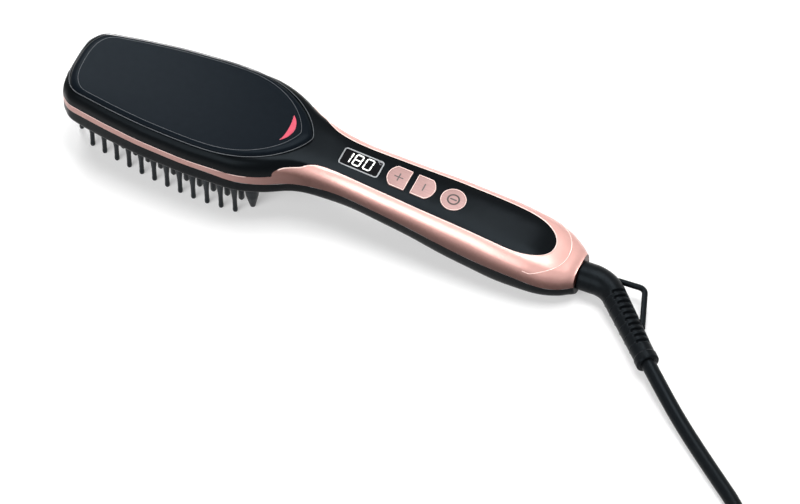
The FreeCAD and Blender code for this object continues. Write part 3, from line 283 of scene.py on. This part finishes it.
# lighter slate grey for lines on the cover's edges: painted highlight
slate_edge_highlight = painted("slate painted edge highlight", (0.055, 0.062, 0.070), (0.045, 0.052, 0.060), (0.35, 0.45))
digit_white = painted(
    "lit digit", (0.95, 0.95, 0.93), (0.92, 0.92, 0.90), (0.5, 0.6),
    Emission_Color=(1, 0.98, 0.95, 1), Emission_Strength=0.55,
)
unit_grey = painted("dim unit", (0.30, 0.30, 0.32), (0.26, 0.26, 0.28), (0.5, 0.6))
print_dark = painted("dark printing", (0.03, 0.022, 0.022), (0.025, 0.018, 0.018))
glow_red = painted(
    "pink light window", (0.50, 0.06, 0.10), (0.44, 0.045, 0.08), (0.35, 0.4), bump=0.02, Specular_IOR_Level=0.2
)
glow_edge = painted("pink window edge", (0.80, 0.30, 0.36), (0.76, 0.26, 0.32), (0.35, 0.4))
nickel = material("nickel", (0.62, 0.61, 0.59), (0.52, 0.51, 0.49), (0.15, 0.3), 1.0)
strap = material(
    "woven strap", (0.02, 0.02, 0.022), (0.035, 0.035, 0.037), (0.7, 0.85), 0.0, (2500.0, 2500.0, 2500.0), 0.5
)

FINISHES = {
    "black_cover": slate, "indicator": glow_red, "circuit_board": laminate, "black_shell": black,
    "rose_trim": rose, "black_pad": bristle, "black_bristle": bristle, "heated_metal": ceramic,
    "cool_tip": bristle, "ceramic": pale_ceramic, "film": film, "spring_steel": steel,
    "sensor_glass": film, "fuse_metal": steel, "screw_steel": steel, "wire": wiring,
    "component": glass, "display_body": white_mould, "display_glass": glass, "display_rim": rim_grey,
    "rose_key": rose_brushed, "inner_plastic": white_mould, "contact_brass": brass,
    "cord_black": rubber, "tie": strap, "prong": nickel,
}


def dress_nodes():
    """Gives every CAD node its finish, and smooth shading between its welded triangles."""
    for entry in frame["record"]["subparts"]:
        node = NODES[entry["node"]]
        node.data.materials.clear()
        node.data.materials.append(FINISHES[entry["material_slot"]])
        node.data.polygons.foreach_set("use_smooth", [True] * len(node.data.polygons))
        weld = node.modifiers.new("weld", "WELD")
        weld.merge_threshold = WELD_DISTANCE
        split = node.modifiers.new("edges", "EDGE_SPLIT")
        split.split_angle = SHARP_ANGLE


dress_nodes()


def add(piece, body, finish, slot_name, *replaced):
    """Rides a finished piece on a body with its material, in place of any CAD nodes named."""
    piece.data.materials.append(finish)
    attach(piece, body)
    if replaced:
        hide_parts(*replaced)
    return piece


# ---------------------------------------------------------------- form of the brush, by distance from its nose
LENGTH, NECK = 266.4, 12.2
NOSE, END = -LENGTH / 2, LENGTH / 2
NOSE_LENGTH, BLUNT = 11.9, 0.25
WIDEST, HEAD_HALF, HEAD_TOP = 77.4, 29.4, 44.8
TILT, PANEL_HEIGHT = math.radians(5.9), 39.5


def monotone(points, x):
    """Monotone cubic through (x, value) points: Hermite pieces with harmonic-mean slopes, level beyond both ends."""
    px, py = np.array(points, float).T
    step = np.diff(px)
    rise = np.diff(py) / step
    first, second = 2 * step[1:] + step[:-1], step[1:] + 2 * step[:-1]
    level = rise[:-1] * rise[1:] <= 0
    before, after = np.where(level, 1.0, rise[:-1]), np.where(level, 1.0, rise[1:])
    slope = np.r_[rise[0], np.where(level, 0.0, (first + second) / (first / before + second / after)), rise[-1]]
    x = np.clip(x, px[0], px[-1])
    i = np.clip(np.searchsorted(px, x, side="right") - 1, 0, len(px) - 2)
    t = (x - px[i]) / step[i]
    return (
        py[i] * (1 + 2 * t) * (1 - t) ** 2
        + slope[i] * step[i] * t * (1 - t) ** 2
        + py[i + 1] * t * t * (3 - 2 * t)
        + slope[i + 1] * step[i] * t * t * (t - 1)
    )


def rounding(depth, reach, power):
    """Superelliptic edge: 0 at the edge, 1 at reach inside it."""
    inside = np.clip(depth / reach, 0, 1)
    return (1 - (1 - inside) ** power) ** (1 / power)


def nose_half(d, ahead=0.0):
    """Half width over the nose: a superellipse that starts a little ahead of the tip, so as to leave it blunt."""
    return 20.0 * rounding(d + ahead, NOSE_LENGTH + ahead, 2.7) + 0.17 * d


def half_width(d):
    """Half width of the brush: superelliptic nose, then a monotone cubic over paddle, waist and grip."""
    body = monotone(
        [(NOSE_LENGTH, 22.02), (30.9, 25.4), (52.4, 28.1), (WIDEST, HEAD_HALF), (97.9, 28.5), (106.9, 26.2),
         (115.9, 22.4), (123.9, 18.4), (131.9, 16.5), (145.4, 15.1), (172.4, 16.0), (200.4, 17.6), (230.4, 18.6),
         (243.9, 18.1), (253.9, 16.4), (261.9, 12.6), (LENGTH, 9.3)], d)
    return np.where(d < NOSE_LENGTH, nose_half(d, BLUNT), body)


def seam_low(d):
    """Height of the lower parting line, a monotone cubic."""
    return monotone(
        [(0, 31.4), (WIDEST, 31.2), (101.4, 29.8), (127.4, 29.2), (145.4, 28.5), (163.4, 26.4), (185.4, 23.0),
         (216.9, 17.6), (237.9, 15.3), (257.0, 11.5), (LENGTH, 10.4)], d)


def crown(d):
    """Height of the top line: superelliptic over the nose, level over the head, sloping over the handle."""
    low, tilt = seam_low(d), math.tan(TILT)
    grip = PANEL_HEIGHT - 70 * tilt
    nose = low + (HEAD_TOP - low) * rounding(d + BLUNT, 29.0, 4.5)
    body = monotone(
        [(0, HEAD_TOP), (98.4, HEAD_TOP), (112.4, 44.65), (123.9, 43.6), (135.9, 40.2 + 9.5 * tilt),
         (145.4, PANEL_HEIGHT), (215.4, grip), (230.9, grip - 2.6), (243.9, grip - 5.3), (253.9, 23.7),
         (261.9, 20.3), (LENGTH, 17.9)], d)
    return np.where(d < 28.5, nose, body)


def body_height(d, y):
    """Height of the upper skin: a superellipse across each station, squarer over the head."""
    power = monotone([(100.4, 7.0), (129.4, 4.5), (150.4, 3.2)], d)
    low = seam_low(d)
    return low + (crown(d) - low) * (1 - np.clip(np.abs(y) / half_width(d), 0, 1) ** power) ** (1 / power)


# ---------------------------------------------------------------- head cover
COVER_MARGIN, COVER_GAP, SHOULDER = 2.8, 0.15, 2.3
COVER_BASE, SHOULDER_BASE, SHOULDER_RISE, COVER_TOP, COVER_CROWN = 40.7, 42.3, 3.62, 46.2, 0.26


def cover_ring(inset):
    """Outline of the cover, drawn in by inset: the head's own outline to the widest place, then a superelliptic end."""
    widest, side, nose = NOSE + WIDEST, COVER_MARGIN + inset, COVER_MARGIN + inset * 1.8
    d = WIDEST * np.linspace(0, 1, 96) ** 1.6
    edge = np.where(d < NOSE_LENGTH, nose_half(d), half_width(d))
    front = np.stack([widest + (NOSE + d - widest) * (1 - nose / WIDEST), edge * (1 - side / HEAD_HALF)], -1)
    s = np.sin(np.linspace(0, np.pi / 2, 96))[1:]
    back = np.stack([widest + (NECK - 18.3 - inset * 2.6 - widest) * s, (HEAD_HALF - side) * (1 - s**2.4) ** 0.72], -1)
    half = np.concatenate([front, back])
    return np.concatenate([half, half[-2:0:-1] * (1, -1)])[::-1]


def cover_surface():
    """Rings up a rounded shoulder from the groove, then shrinking rings over a slightly crowned plateau to a pole."""
    turn = np.linspace(0, np.pi / 2, 13)
    insets = np.r_[COVER_GAP, COVER_GAP, COVER_GAP + SHOULDER * (1 - np.cos(turn)) ** 1.15]
    heights = np.r_[COVER_BASE, SHOULDER_BASE, SHOULDER_BASE + SHOULDER_RISE * np.sin(turn) ** 0.85]
    rings = [at_height(cover_ring(i), z) for i, z in zip(insets, heights)]
    centre = np.array([NOSE + WIDEST - 6, 0.0])
    edge = rings[-1][:, :2]
    for s in (0.985, 0.96, 0.9, 0.8, 0.6, 0.4, 0.2, 0.07):
        rings.append(at_height(centre + (edge - centre) * s, COVER_TOP - COVER_CROWN * s**2.5))
    return lathe("cover_skin", np.array(rings), (*centre, COVER_BASE), (*centre, COVER_TOP))


def crescent_ring():
    """Closed outline of the light window, between a deep and a shallow parabola that all but meet at their ends."""
    t = np.linspace(-1, 1, 25)
    y, front = 7.85 * t, NECK - 28.05
    outer = np.c_[front - 3.9 * t**2, y]
    inner = np.c_[front - 2.6 - 1.0 * t**2, y]
    return at_height(np.concatenate([outer[:-1], inner[:0:-1]]), 45.98)


add(cover_surface(), "brush", slate, "black_cover", "head_cover")
GROOVE_RING, PLATEAU_RING = at_height(cover_ring(0.0), 44.72), at_height(cover_ring(2.4), 45.86)
# lighter grey lines round the cover's groove and shoulder are painted highlights
add(loop_line("cover_groove_line", GROOVE_RING, 0.18), "brush", slate_edge_highlight, "black_cover")
add(loop_line("cover_shoulder_line", PLATEAU_RING, 0.13), "brush", slate_edge_highlight, "black_cover")
add(loop_line("indicator_rim", crescent_ring(), 0.24), "brush", glow_edge, "indicator")


# ---------------------------------------------------------------- lines along the body
def both_sides(d, y, z):
    """Line along the +Y side and back along the -Y side, meeting at its far end."""
    forward = np.c_[NOSE + d, y, z]
    return np.concatenate([forward, forward[-2::-1] * (1, -1, 1)])


def inlay_edge(grow, start, count=140):
    """Edge of the handle's black inlay: the body's outline drawn in by a monotone cubic, with a superelliptic end."""
    spread = [
        (102.4, 3.2), (108.4, 1.9), (113.4, 0.5), (119.4, -1.1), (123.9, -1.5), (127.2, -2.0), (131.2, -3.8),
        (135.8, -4.9), (145.4, -5.1), (177.4, -5.3), (219.4, -6.2), (230.4, -6.3),
    ]
    turn, reach = 230.9, 22.0 + grow
    straight = np.linspace(start, turn, count)
    y_turn = half_width(turn) + monotone(spread, turn) + grow
    angle = np.linspace(0, np.pi / 2, 40)[1:]
    bend = turn + reach * np.sin(angle)
    d = np.r_[straight, bend]
    y_straight = half_width(straight) + monotone(spread, straight) + grow
    return d, np.r_[y_straight, y_turn * rounding(turn + reach - bend, reach, 2.2)]


def body_line(name, line, radius, finish=painted_rose_highlight, slot_name="rose_trim"):
    """Adds a thin line that runs along the body; its pale rose by default is a painted highlight."""
    add(open_line(name, line, radius), "brush", finish, slot_name)


def on_skin(d, y, sunk):
    """Line on the upper skin along both sides, sunk a little into it."""
    return both_sides(d, y, body_height(d, y) - sunk)


def band_line(side):
    """Upper edge of the trim's band round the head, along one side, on the superelliptic section."""
    d = np.concatenate([np.linspace(0.0, 12, 40), np.linspace(12, 104, 90)[1:]])
    high = monotone([(0, 35.6), (WIDEST, 35.0), (102.4, 34.9)], d)
    rise = np.clip((high - seam_low(d)) / (crown(d) - seam_low(d)), 0, 1)
    reach = half_width(d) * (1 - rise**7) ** (1 / 7) - 0.04
    return np.c_[NOSE + d, side * reach, high]


# pale rose lines at the inlay's edge and along the trim's crease are painted highlights
body_line("inlay_edge_highlight", on_skin(*inlay_edge(0.25, 118.0), 0.05), 0.26)

CREASE_STARTS = 243.0
d, y = inlay_edge(7.2, 230.0, 2)
d, y = d[d > CREASE_STARTS], y[d > CREASE_STARTS]
body_line("trim_crease_highlight", on_skin(d, np.minimum(y, half_width(d) - 0.9), 0.06), 0.2)

d = np.concatenate([np.linspace(0.2, 12, 40), np.linspace(12, LENGTH - 0.2, 220)[1:]])
body_line("lower_parting_line", both_sides(d, half_width(d) - 0.14, seam_low(d)), 0.14, seam_grey, "black_shell")
# pale rose lines along the band's upper edge are painted highlights
body_line("band_upper_highlight", band_line(1), 0.18)
body_line("band_upper_highlight_near", band_line(-1)[::-1], 0.18)


# ---------------------------------------------------------------- display and keys, in the tilted panel's measures
WINDOW_MIDDLE, WINDOW_LENGTH, WINDOW_WIDTH, WINDOW_FACE = 6.94, 20.7, 10.3, -0.31
KEY_HALF, KEY_END, KEY_END_RADIUS, KEY_FACE, KEY_EDGE, RIM_INSET = 5.9, -3.392, 7.208, 0.50, 0.42, 0.12
PLUS_CENTRE, MINUS_CENTRE, POWER_CENTRE, POWER_RADIUS = 26.6, 39.7, 55.19, 6.08
PLUS_HALF, MINUS_HALF, POWER_STROKE, POWER_RING = 2.1, 1.9, 1.35, 2.75


def on_panel(points):
    """Points (along, across, up) of the tilted control panel, carried to the object's frame."""
    along, across, up = np.moveaxis(np.asarray(points, float), -1, 0)
    cos_t, sin_t = math.cos(TILT), math.sin(TILT)
    return np.stack([NECK + along * cos_t + up * sin_t, across, PANEL_HEIGHT - along * sin_t + up * cos_t], -1)


def bars(name, ends, width, low, high):
    """Flat round-ended bars on the panel, one for each pair of end points (bars, 2, 2), from low to high."""
    ends = np.asarray(ends, float)
    ahead = ends[:, 1] - ends[:, 0]
    ahead = ahead / np.linalg.norm(ahead, axis=1)[:, None]
    left = ahead[:, ::-1] * (-1, 1)
    angle = np.linspace(-np.pi / 2, np.pi / 2, 7)
    cap = np.cos(angle)[None, :, None] * ahead[:, None] + np.sin(angle)[None, :, None] * left[:, None]
    outline = np.concatenate([ends[:, 1, None] + cap * width / 2, ends[:, 0, None] - cap * width / 2], 1)
    count, around = outline.shape[:2]
    levels = np.broadcast_to(np.array([low, high])[None, :, None, None], (count, 2, around, 1))
    points = on_panel(np.concatenate([np.broadcast_to(outline[:, None], (count, 2, around, 2)), levels], -1))
    base = (np.arange(count) * 2 * around)[:, None, None]
    walls = (grid_faces(2, around)[None] + base).reshape(-1, 4)
    top = np.arange(around) + around + base[:, 0]
    floor = np.arange(around)[::-1] + base[:, 0]
    return new_mesh(name, points.reshape(-1, 3), [walls, top, floor], smooth=False)


def arc_bars(centre, radius, first, last, count):
    """Short bars end to end along an arc."""
    angle = np.radians(np.linspace(first, last, count + 1))
    spots = np.array(centre) + radius * np.c_[np.cos(angle), np.sin(angle)]
    return np.stack([spots[:-1], spots[1:]], 1)


def digit(left, right, low, high, segments):
    """Seven-segment digit in a slanted box: top, middle, bottom, then the left and the right pairs of uprights."""
    mid, gap, slant = (low + high) / 2, 0.5, 0.08
    lines = {
        "t": ((left + gap, high), (right - gap, high)), "m": ((left + gap, mid), (right - gap, mid)),
        "b": ((left + gap, low), (right - gap, low)), "l": ((left, mid + gap), (left, high - gap)),
        "L": ((left, low + gap), (left, mid - gap)), "r": ((right, mid + gap), (right, high - gap)),
        "R": ((right, low + gap), (right, mid - gap)),
    }
    ends = np.array([lines[name] for name in segments])
    ends[..., 0] += slant * ends[..., 1]
    return ends


def window_spot(u, v):
    """Point of the panel at fractions of the display window's length and width."""
    return WINDOW_MIDDLE + (u - 0.5) * WINDOW_LENGTH, (v - 0.5) * WINDOW_WIDTH


def lit_digits():
    """Bars of a one, an eight and a nought side by side in the window."""
    low, high = window_spot(0, 0.23)[1], window_spot(0, 0.84)[1]
    figures = [(0.235, 0.235, "lL"), (0.325, 0.492, "tmblLrR"), (0.592, 0.762, "tblLrR")]
    return np.concatenate([
        digit(window_spot(left, 0)[0], window_spot(right, 0)[0], low, high, segments)
        for left, right, segments in figures
    ])


def unit_sign():
    """Bars of a small degree ring and an open round letter."""
    x, y = window_spot(0.905, 0.86)
    return np.concatenate([arc_bars((x - 1.0, y + 0.45), 0.28, 0, 360, 8), arc_bars((x + 0.2, y), 0.68, 50, 310, 10)])


def power_sign():
    """Bars of a ring with an upright stroke in it."""
    stroke = [((POWER_CENTRE - POWER_STROKE, 0), (POWER_CENTRE + POWER_STROKE, 0))]
    return np.concatenate([arc_bars((POWER_CENTRE, 0), POWER_RING, 0, 360, 32), stroke])


def key_sign(name, ends, width, key):
    """Adds dark printing on a key's face."""
    add(bars(name, ends, width, KEY_FACE - 0.03, KEY_FACE + 0.03), key, print_dark, "rose_key")


def key_ring(straight_at, side):
    """Outline of a temperature key: one straight side, two level sides and a round outer end."""
    half, radius = KEY_HALF - RIM_INSET, KEY_END_RADIUS - RIM_INSET
    turn = math.asin(half / radius)
    angle = np.linspace(-turn, turn, 25)
    end = np.c_[KEY_END - radius * np.cos(angle), radius * np.sin(angle)]
    top = np.c_[np.linspace(end[-1, 0], -RIM_INSET, 10)[1:], np.full(9, half)]
    upright = np.c_[np.full(13, -RIM_INSET), np.linspace(half, -half, 15)[1:-1]]
    outline = np.concatenate([end, top, upright, top[::-1] * (1, -1)])
    return (straight_at, 0) + side * outline


def power_ring():
    """Outline of the round key."""
    angle = np.linspace(0, 2 * np.pi, 64, endpoint=False)
    return np.c_[POWER_CENTRE + POWER_RADIUS * np.cos(angle), POWER_RADIUS * np.sin(angle)]


def key_rim(name, outline, key):
    """Adds the pale line round a key's edge, a painted highlight."""
    add(loop_line(name, on_panel(at_height(outline, KEY_EDGE)), 0.17), key, painted_rose_highlight, "rose_key")


add(bars("lit_digits", lit_digits(), 0.66, WINDOW_FACE, WINDOW_FACE + 0.09), "brush", digit_white, "display_glass")
add(bars("unit_sign", unit_sign(), 0.22, WINDOW_FACE, WINDOW_FACE + 0.07), "brush", unit_grey, "display_glass")

cross = [
    ((PLUS_CENTRE - PLUS_HALF, 0), (PLUS_CENTRE + PLUS_HALF, 0)),
    ((PLUS_CENTRE, -PLUS_HALF), (PLUS_CENTRE, PLUS_HALF)),
]
key_sign("plus_sign", cross, 0.62, "plus_key")
key_sign("minus_sign", [((MINUS_CENTRE, -MINUS_HALF), (MINUS_CENTRE, MINUS_HALF))], 0.66, "minus_key")
key_sign("power_sign", power_sign(), 0.8, "power_key")
# pale rose rims round the keys are painted highlights
key_rim("plus_key_edge_highlight", key_ring(31.568, 1), "plus_key")
key_rim("minus_key_edge_highlight", key_ring(34.784, -1), "minus_key")
key_rim("power_key_edge_highlight", power_ring(), "power_key")


# ---------------------------------------------------------------- strain relief
RELIEF_TURN = math.radians(44.4)
HEADING = np.array([math.cos(RELIEF_TURN), -math.sin(RELIEF_TURN), 0.0])
COLLAR_FACE, COLLAR, BEND_RADIUS, AXIS_HEIGHT = END + 0.3, 6.45, 18.0, 9.5
BEND_START = COLLAR_FACE + COLLAR
TO_CORNER, BEND_LENGTH, SLEEVE = BEND_RADIUS * math.tan(RELIEF_TURN / 2), BEND_RADIUS * RELIEF_TURN, 51.0
RELIEF_END = np.array([BEND_START + TO_CORNER, 0.0, AXIS_HEIGHT]) + HEADING * SLEEVE
JOURNAL_END, JOURNAL_RADIUS = -17.6, 5.0
COLLAR_RADIUS, BEND_END_RADIUS, TIP_RADIUS = 7.1, 6.2, 5.3
CUFF, CUFF_RISE, SLOT_DEPTH, RIB_RISE, SLEEVE_SIDES = 4.0, 0.4, 1.35, 0.22, 96


def relief_line(s):
    """Points at distances s from the collar's face: straight, a round bend, then straight along the heading."""
    angle = np.clip((s - COLLAR) / BEND_RADIUS, 0, RELIEF_TURN)
    before, after = np.minimum(s - COLLAR, 0), np.maximum(s - COLLAR - BEND_LENGTH, 0)
    x = BEND_START + before + BEND_RADIUS * np.sin(angle) + after * HEADING[0]
    y = -BEND_RADIUS * (1 - np.cos(angle)) + after * HEADING[1]
    return np.c_[x, y, np.full(len(s), AXIS_HEIGHT)]


def band(x, low, high, soft):
    """Smooth step up at low and down at high."""
    up = np.clip((x - low) / soft + 0.5, 0, 1)
    down = np.clip((high - x) / soft + 0.5, 0, 1)
    return up * up * (3 - 2 * up) * down * down * (3 - 2 * down)


def marks(along, face, places, half, soft, sector, sector_soft, stagger=0):
    """Bands at places along the sleeve, each over a sector of its faces; every second one is shifted by stagger."""
    marked = 0.0
    for k, middle in enumerate(places):
        low, high = np.array(sector) + stagger * (k % 2)
        marked = marked + band(along, middle - half, middle + half, soft) * band(face, low, high, sector_soft)
    return np.clip(marked, 0, 1)


def relief_surface():
    """Round sleeve along the relief's line: journal, collar, taper with slots outside and ribs inside, and end cuff."""
    bend_end = COLLAR + BEND_LENGTH
    total = bend_end + SLEEVE - TO_CORNER
    journal = np.r_[JOURNAL_END, JOURNAL_END, np.linspace(JOURNAL_END + 0.1, -0.1, 12), -0.02]
    elbow = np.r_[0.0, np.linspace(0.25, bend_end - 1, 40)]
    s = np.r_[journal, elbow, np.arange(bend_end - 0.8, total - 0.05, 0.22), total, total, total]
    radius = np.interp(s, [COLLAR, bend_end, total], [COLLAR_RADIUS, BEND_END_RADIUS, TIP_RADIUS])
    radius[:len(journal)] = JOURNAL_RADIUS
    radius[[0, 1, -2, -1]] = 4.0, 4.8, 5.35, 3.4
    radius += CUFF_RISE * band(s, total - CUFF, total + 2, 0.9) * (s < total)
    angle = (np.linspace(0, 2 * np.pi, SLEEVE_SIDES, endpoint=False) + np.pi) % (2 * np.pi) - np.pi
    along, face = (s - bend_end)[:, None], np.abs(np.degrees(angle))[None, :]
    slots = marks(
        along, face, 1.9 + 3.5 * np.arange(10), half=0.78, soft=0.75, sector=(36, 104), sector_soft=13, stagger=4
    )
    ribs = marks(along, face, 3.0 + 6.1 * np.arange(6), half=0.22, soft=0.4, sector=(116, 168), sector_soft=10)
    # ends that share one place are set a little apart, so that the line has a direction there
    apart = np.r_[s[0] - 0.1, s[1:-3], total + 0.05 * np.arange(3)]
    rings = swept(relief_line(apart), radius, SLEEVE_SIDES, bulge=RIB_RISE * ribs - SLOT_DEPTH * slots)
    return lathe("relief_sleeve", rings, relief_line(s[:1])[0] - (0.1, 0, 0), rings[-1].mean(0))


add(relief_surface(), "cord_swivel", rubber, "cord_black", "strain_relief")

# ---------------------------------------------------------------- mains cord
CORD_RADIUS, PLUG_AXIS = 3.625, 6.87
COIL = np.array([221.5, -175.0, 0.0])
PLUG_REAR = COIL + (-76.0, -27.0, PLUG_AXIS)
# radii of the three rings that the turns lie in, and heights of the cord's middle in the three layers
OUTER, MIDDLE, INNER = 43.85, 36.5, 29.15
LAYERS = (4.25, 11.95, 19.65)
# a spline runs inside its controls, so they stand out by this much
SPLINE_SHRINK = 1.0123


def rounded_steps(turn, places, values):
    """Straight ramps between (place, value) points, each value averaged with those 0.05 turns before and after."""
    return np.interp(turn[:, None] + (-0.05, 0.0, 0.05), places, values).mean(1)


def cord_controls():
    """Control points from the relief to the table, clockwise round the coil, the last part on top, and to the plug."""
    lead = [
        RELIEF_END - 2 * HEADING, (195.6, -46.4, 8.3), (211.2, -59.3, 5.4), (231.0, -74.6, 3.9),
        (265.7, -101.2, 3.8), (265.8, -135.0, 4.1), (265.8, -163.0, 4.2),
    ]
    turn = np.arange(0.0, 6.301, 0.05)
    angle = np.radians(-360 * turn)
    # the cord goes from ring to ring and from layer to layer between these turns
    shifts = [0.72, 1.00, 1.72, 2.00, 3.40, 3.68, 4.40, 4.68, 5.55, 5.83]
    rings = [OUTER, MIDDLE, MIDDLE, INNER, INNER, MIDDLE, MIDDLE, OUTER, OUTER, MIDDLE]
    radius = SPLINE_SHRINK * rounded_steps(turn, shifts, rings)
    height = rounded_steps(turn, [2.52, 2.80, 5.28, 5.56], [LAYERS[0], LAYERS[1], LAYERS[1], LAYERS[2]])
    turns = np.c_[COIL[0] + radius * np.cos(angle), COIL[1] + radius * np.sin(angle), height]
    tail = [
        (-25, -30.4, LAYERS[2]), (-36, -27.4, 19.5), (-47, -27, 16.4), (-56, -27, 11), (-66, -27, 7.4),
        (-74, -27, PLUG_AXIS), (-76.5, -27, PLUG_AXIS), (-79, -27, PLUG_AXIS),
    ]
    return np.concatenate([lead, turns, COIL + np.array(tail)])


def smooth_line(controls, spacing):
    """Points a spacing apart along the order-3 NURBS spline of the controls."""
    curve = bpy.data.curves.new("cord_route", "CURVE")
    curve.dimensions, curve.resolution_u = "3D", 8
    spline = curve.splines.new("NURBS")
    spline.points.add(len(controls) - 1)
    spline.points.foreach_set("co", np.c_[controls * MM, np.ones(len(controls))].ravel())
    spline.order_u = 3
    spline.use_endpoint_u = True
    route = bpy.data.objects.new("cord_route", curve)
    bpy.context.scene.collection.objects.link(route)
    bpy.context.view_layer.update()
    mesh = bpy.data.meshes.new_from_object(route.evaluated_get(bpy.context.evaluated_depsgraph_get()))
    points = np.zeros(len(mesh.vertices) * 3, np.float32)
    mesh.vertices.foreach_get("co", points)
    bpy.data.objects.remove(route)
    points = points.reshape(-1, 3).astype(float) / MM
    run = np.r_[0, np.cumsum(np.linalg.norm(np.diff(points, axis=0), axis=1))]
    even = np.linspace(0, run[-1], int(run[-1] / spacing) + 1)
    return np.stack([np.interp(even, run, points[:, k]) for k in range(3)], -1), run[-1]


cord_line, cord_length = smooth_line(cord_controls(), 2.6)
cord = lathe("mains_cord", swept(cord_line, CORD_RADIUS, 16), cord_line[0], cord_line[-1])
cord.data.materials.append(rubber)
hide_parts("cord_tube", "cord_coil", "cord_tail")


def plug_neck():
    """Sleeve along the cord's last stretch, a shallow parabola: a straight taper with a cosine wave of ribs on it."""
    length, taper, rise, ribs = 14.5, 1.5, 1.2, 6
    run = np.linspace(0, 1, 57)
    line = np.c_[PLUG_REAR[0] - 0.5 + length * run, np.full(57, PLUG_REAR[1]), PLUG_AXIS + rise * run**2]
    radius = 5.6 - taper * run + 0.22 * np.cos(run * 2 * np.pi * ribs)
    return lathe("plug_neck", swept(line, radius, 28), line[0], line[-1])


add(plug_neck(), "brush", rubber, "cord_black")
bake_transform(cord)


# ---------------------------------------------------------------- light and floor
FLOOR_TONE, FLOOR_LIFT, WORLD_LIGHT = 0.6, 0.4, 0.02


def seen_directly(tree):
    """1 for rays from the camera, from a reflection or through glass, and 0 for light on its way."""
    ray = tree.nodes.new("ShaderNodeLightPath").outputs
    return larger(tree, larger(tree, ray["Is Camera Ray"], ray["Is Glossy Ray"]), ray["Is Transmission Ray"])


def floor_paint():
    """Diffuse white that takes shadows, with some light of its own where it is seen directly."""
    paint = bpy.data.materials.new("white floor")
    paint.use_nodes = True
    tree = paint.node_tree
    tree.nodes.clear()
    output = tree.nodes.new("ShaderNodeOutputMaterial")
    matte = tree.nodes.new("ShaderNodeBsdfDiffuse")
    matte.inputs["Color"].default_value = (FLOOR_TONE, FLOOR_TONE, FLOOR_TONE, 1)
    glow = tree.nodes.new("ShaderNodeEmission")
    lift = map_range(tree, seen_directly(tree), 0.0, 1.0, 0.0, FLOOR_LIFT)
    tree.links.new(lift.outputs["Result"], glow.inputs["Strength"])
    both = tree.nodes.new("ShaderNodeAddShader")
    tree.links.new(matte.outputs[0], both.inputs[0])
    tree.links.new(glow.outputs[0], both.inputs[1])
    tree.links.new(both.outputs[0], output.inputs["Surface"])
    return paint


def make_stage():
    """Floor, and a world that is white where it is seen directly and gives little light."""
    bpy.ops.mesh.primitive_plane_add(size=12, location=(0, 0, 0))
    floor = bpy.context.object
    floor.name = "floor"
    floor.data.materials.append(floor_paint())

    world = bpy.data.worlds.new("studio")
    world.use_nodes = True
    bpy.context.scene.world = world
    tree = world.node_tree
    sky = tree.nodes["Background"]
    sky.inputs["Color"].default_value = (1, 1, 1, 1)
    level = map_range(tree, seen_directly(tree), 0.0, 1.0, WORLD_LIGHT, 1.0)
    tree.links.new(level.outputs["Result"], sky.inputs["Strength"])


def area_light(name, spot, target, size, power):
    """Rectangular lamp at a spot, turned to a target."""
    data = bpy.data.lights.new(name, "AREA")
    data.shape = "RECTANGLE"
    data.size, data.size_y = size
    data.energy = power
    lamp = bpy.data.objects.new(name, data)
    lamp.location = spot
    lamp.rotation_mode = "QUATERNION"
    lamp.rotation_quaternion = (Vector(target) - Vector(spot)).to_track_quat("-Z", "Y")
    bpy.context.scene.collection.objects.link(lamp)


make_stage()
area_light("softbox", (0.15, 0.25, 1.4), (0.0, 0.0, 0.03), (0.9, 0.7), 22)
area_light("nose_light", (-0.30, 0.26, 0.38), (-0.08, 0.0, 0.04), (0.2, 0.2), 1.5)
area_light("handle_light", (0.10, 0.27, 0.42), (0.1, 0.0, 0.03), (0.12, 0.12), 0.4)
area_light("fill_light", (-0.35, -1.1, 0.75), (0.0, 0.0, 0.03), (0.9, 0.9), 14)

bpy.context.scene.view_settings.view_transform = "Standard"
